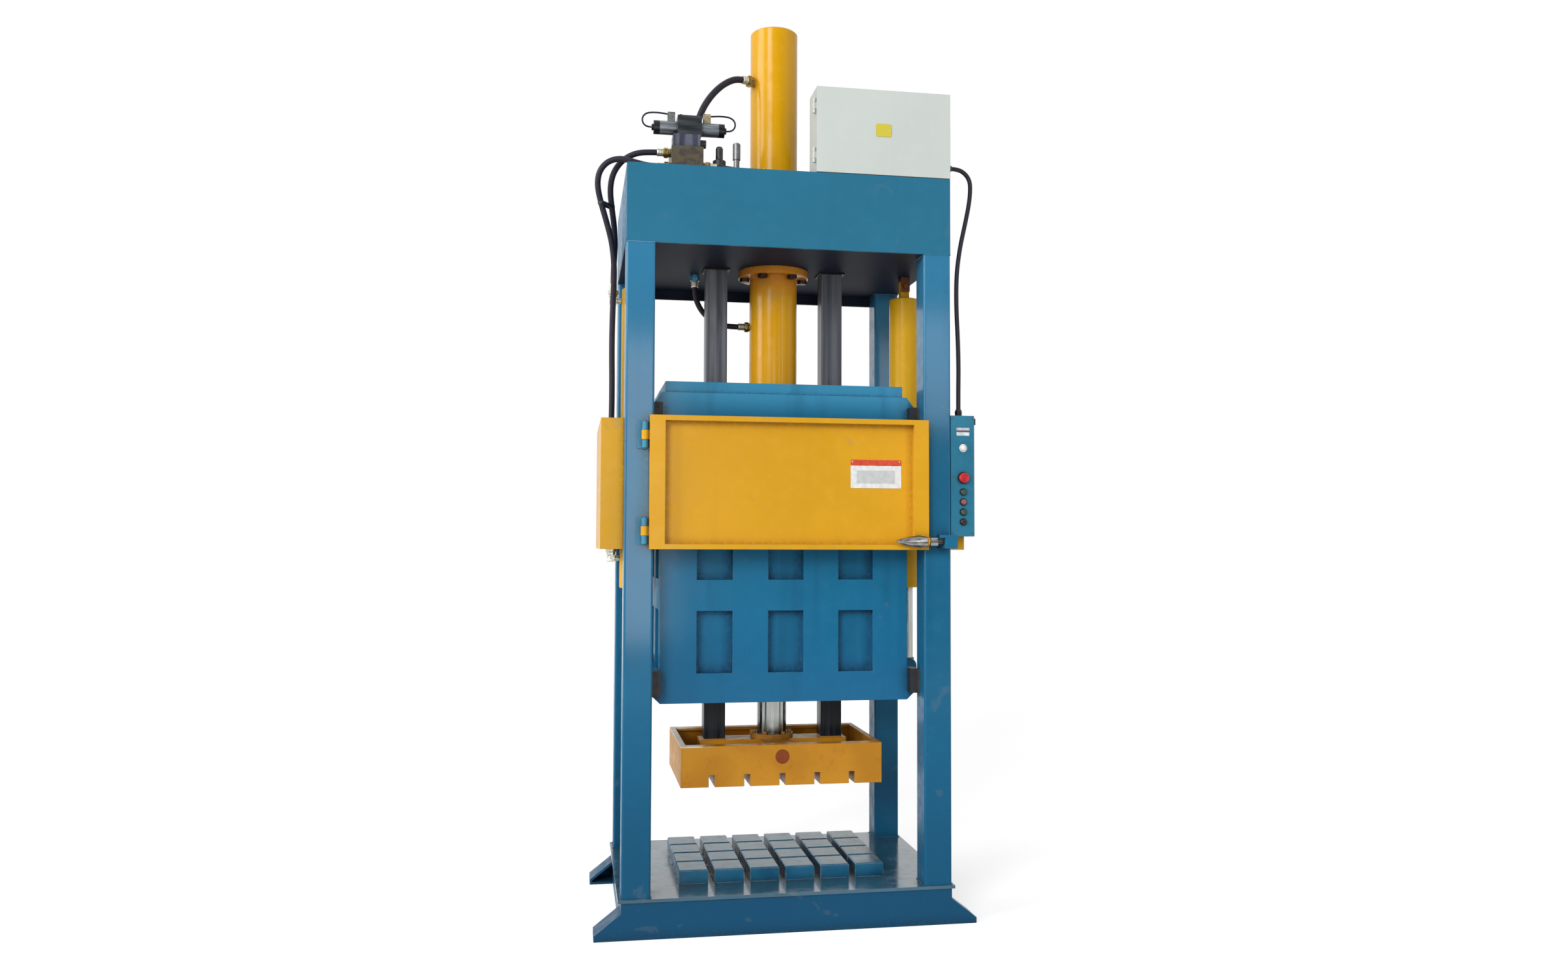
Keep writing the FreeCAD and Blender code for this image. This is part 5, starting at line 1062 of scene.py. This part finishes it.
def camera_white(tree, lit, plain):
    """Camera, glossy and transmission rays see plain, and the others see lit."""
    paths = tree.nodes.new("ShaderNodeLightPath")
    seen = paths.outputs["Is Camera Ray"]
    for name in ("Is Glossy Ray", "Is Transmission Ray"):
        either = tree.nodes.new("ShaderNodeMath")
        either.operation = "MAXIMUM"
        tree.links.new(seen, either.inputs[0])
        tree.links.new(paths.outputs[name], either.inputs[1])
        seen = either.outputs[0]
    mix = tree.nodes.new("ShaderNodeMixShader")
    tree.links.new(seen, mix.inputs[0])
    tree.links.new(lit, mix.inputs[1])
    tree.links.new(plain, mix.inputs[2])
    return mix.outputs[0]


AMBIENT = 0.32
FLOOR_HALF, FLOOR_ALBEDO, FLOOR_GLOW = 40.0, 0.8, 0.6


def add_world():
    world = bpy.data.worlds.new("studio")
    bpy.context.scene.world = world
    tree = bare_tree(world)
    shaders = []
    for strength in (AMBIENT, 1.0):
        background = tree.nodes.new("ShaderNodeBackground")
        background.inputs["Strength"].default_value = strength
        background.inputs["Color"].default_value = (1, 1, 1, 1)
        shaders.append(background.outputs[0])
    out = tree.nodes.new("ShaderNodeOutputWorld")
    tree.links.new(camera_white(tree, *shaders), out.inputs["Surface"])


def sheet(name, corners):
    """An object of one four-sided face."""
    data = bpy.data.meshes.new(name)
    data.from_pydata(corners, [], [(0, 1, 2, 3)])
    return add_object(name, data)


def add_floor():
    floor = sheet("floor", rectangle(-FLOOR_HALF, FLOOR_HALF, -FLOOR_HALF, FLOOR_HALF, 0))
    material = bpy.data.materials.new("floor_white")
    tree = bare_tree(material)
    cloth = tree.nodes.new("ShaderNodeBsdfDiffuse")
    cloth.inputs["Color"].default_value = (FLOOR_ALBEDO, FLOOR_ALBEDO, FLOOR_ALBEDO, 1)
    glow = tree.nodes.new("ShaderNodeEmission")
    glow.inputs["Strength"].default_value = FLOOR_GLOW
    both = tree.nodes.new("ShaderNodeAddShader")
    tree.links.new(cloth.outputs[0], both.inputs[0])
    tree.links.new(glow.outputs[0], both.inputs[1])
    out = tree.nodes.new("ShaderNodeOutputMaterial")
    tree.links.new(camera_white(tree, cloth.outputs[0], both.outputs[0]), out.inputs["Surface"])
    floor.data.materials.append(material)


def add_sun(name, towards, strength, spread):
    data = bpy.data.lights.new(name, "SUN")
    data.energy = strength
    data.angle = math.radians(spread)
    add_object(name, data).rotation_euler = facing(towards)


def add_area(name, place, target, width, height, power):
    data = bpy.data.lights.new(name, "AREA")
    data.shape = "RECTANGLE"
    data.size, data.size_y = width, height
    data.energy = power
    lamp = add_object(name, data)
    lamp.location = place
    lamp.rotation_euler = facing(Vector(target) - Vector(place))


def add_card(name, corners, strength):
    """A dim card that only reflections see, as a flag in a studio."""
    card = sheet(name, corners)
    card.visible_camera = card.visible_diffuse = False
    card.visible_transmission = card.visible_shadow = False
    material = bpy.data.materials.new(name)
    tree = bare_tree(material)
    glow = tree.nodes.new("ShaderNodeEmission")
    glow.inputs["Strength"].default_value = strength
    out = tree.nodes.new("ShaderNodeOutputMaterial")
    tree.links.new(glow.outputs[0], out.inputs["Surface"])
    card.data.materials.append(material)


add_world()
add_floor()
# Suns: name, direction of the light, strength, spread in degrees.
add_sun("key_lamp", (0.45, 0.8, -0.32), 1.22, 20)
add_sun("side_lamp", (0.9, 0.22, -0.3), 1.3, 30)
# Panels: name, place, target, width, height, watts.
add_area("left_strip", (-3.4, -2.2, 2.8), (0, 0, 2.4), 0.22, 3.0, 25)
add_area("right_strip", (2.4, -3.2, 2.8), (0, 0, 2.4), 0.25, 3.0, 14)
add_area("front_panel", (-0.375, -6.2, 1.95), (-0.375, 0, 1.95), 0.95, 2.6, 46)
add_area("right_panel", (2.35, -6.2, 3.05), (2.35, 0, 3.05), 0.5, 1.0, 8)
add_card("front_card", upright(-9, 9, 0.02, 8, -9), 0.08)

bpy.context.scene.view_settings.view_transform = "Standard"
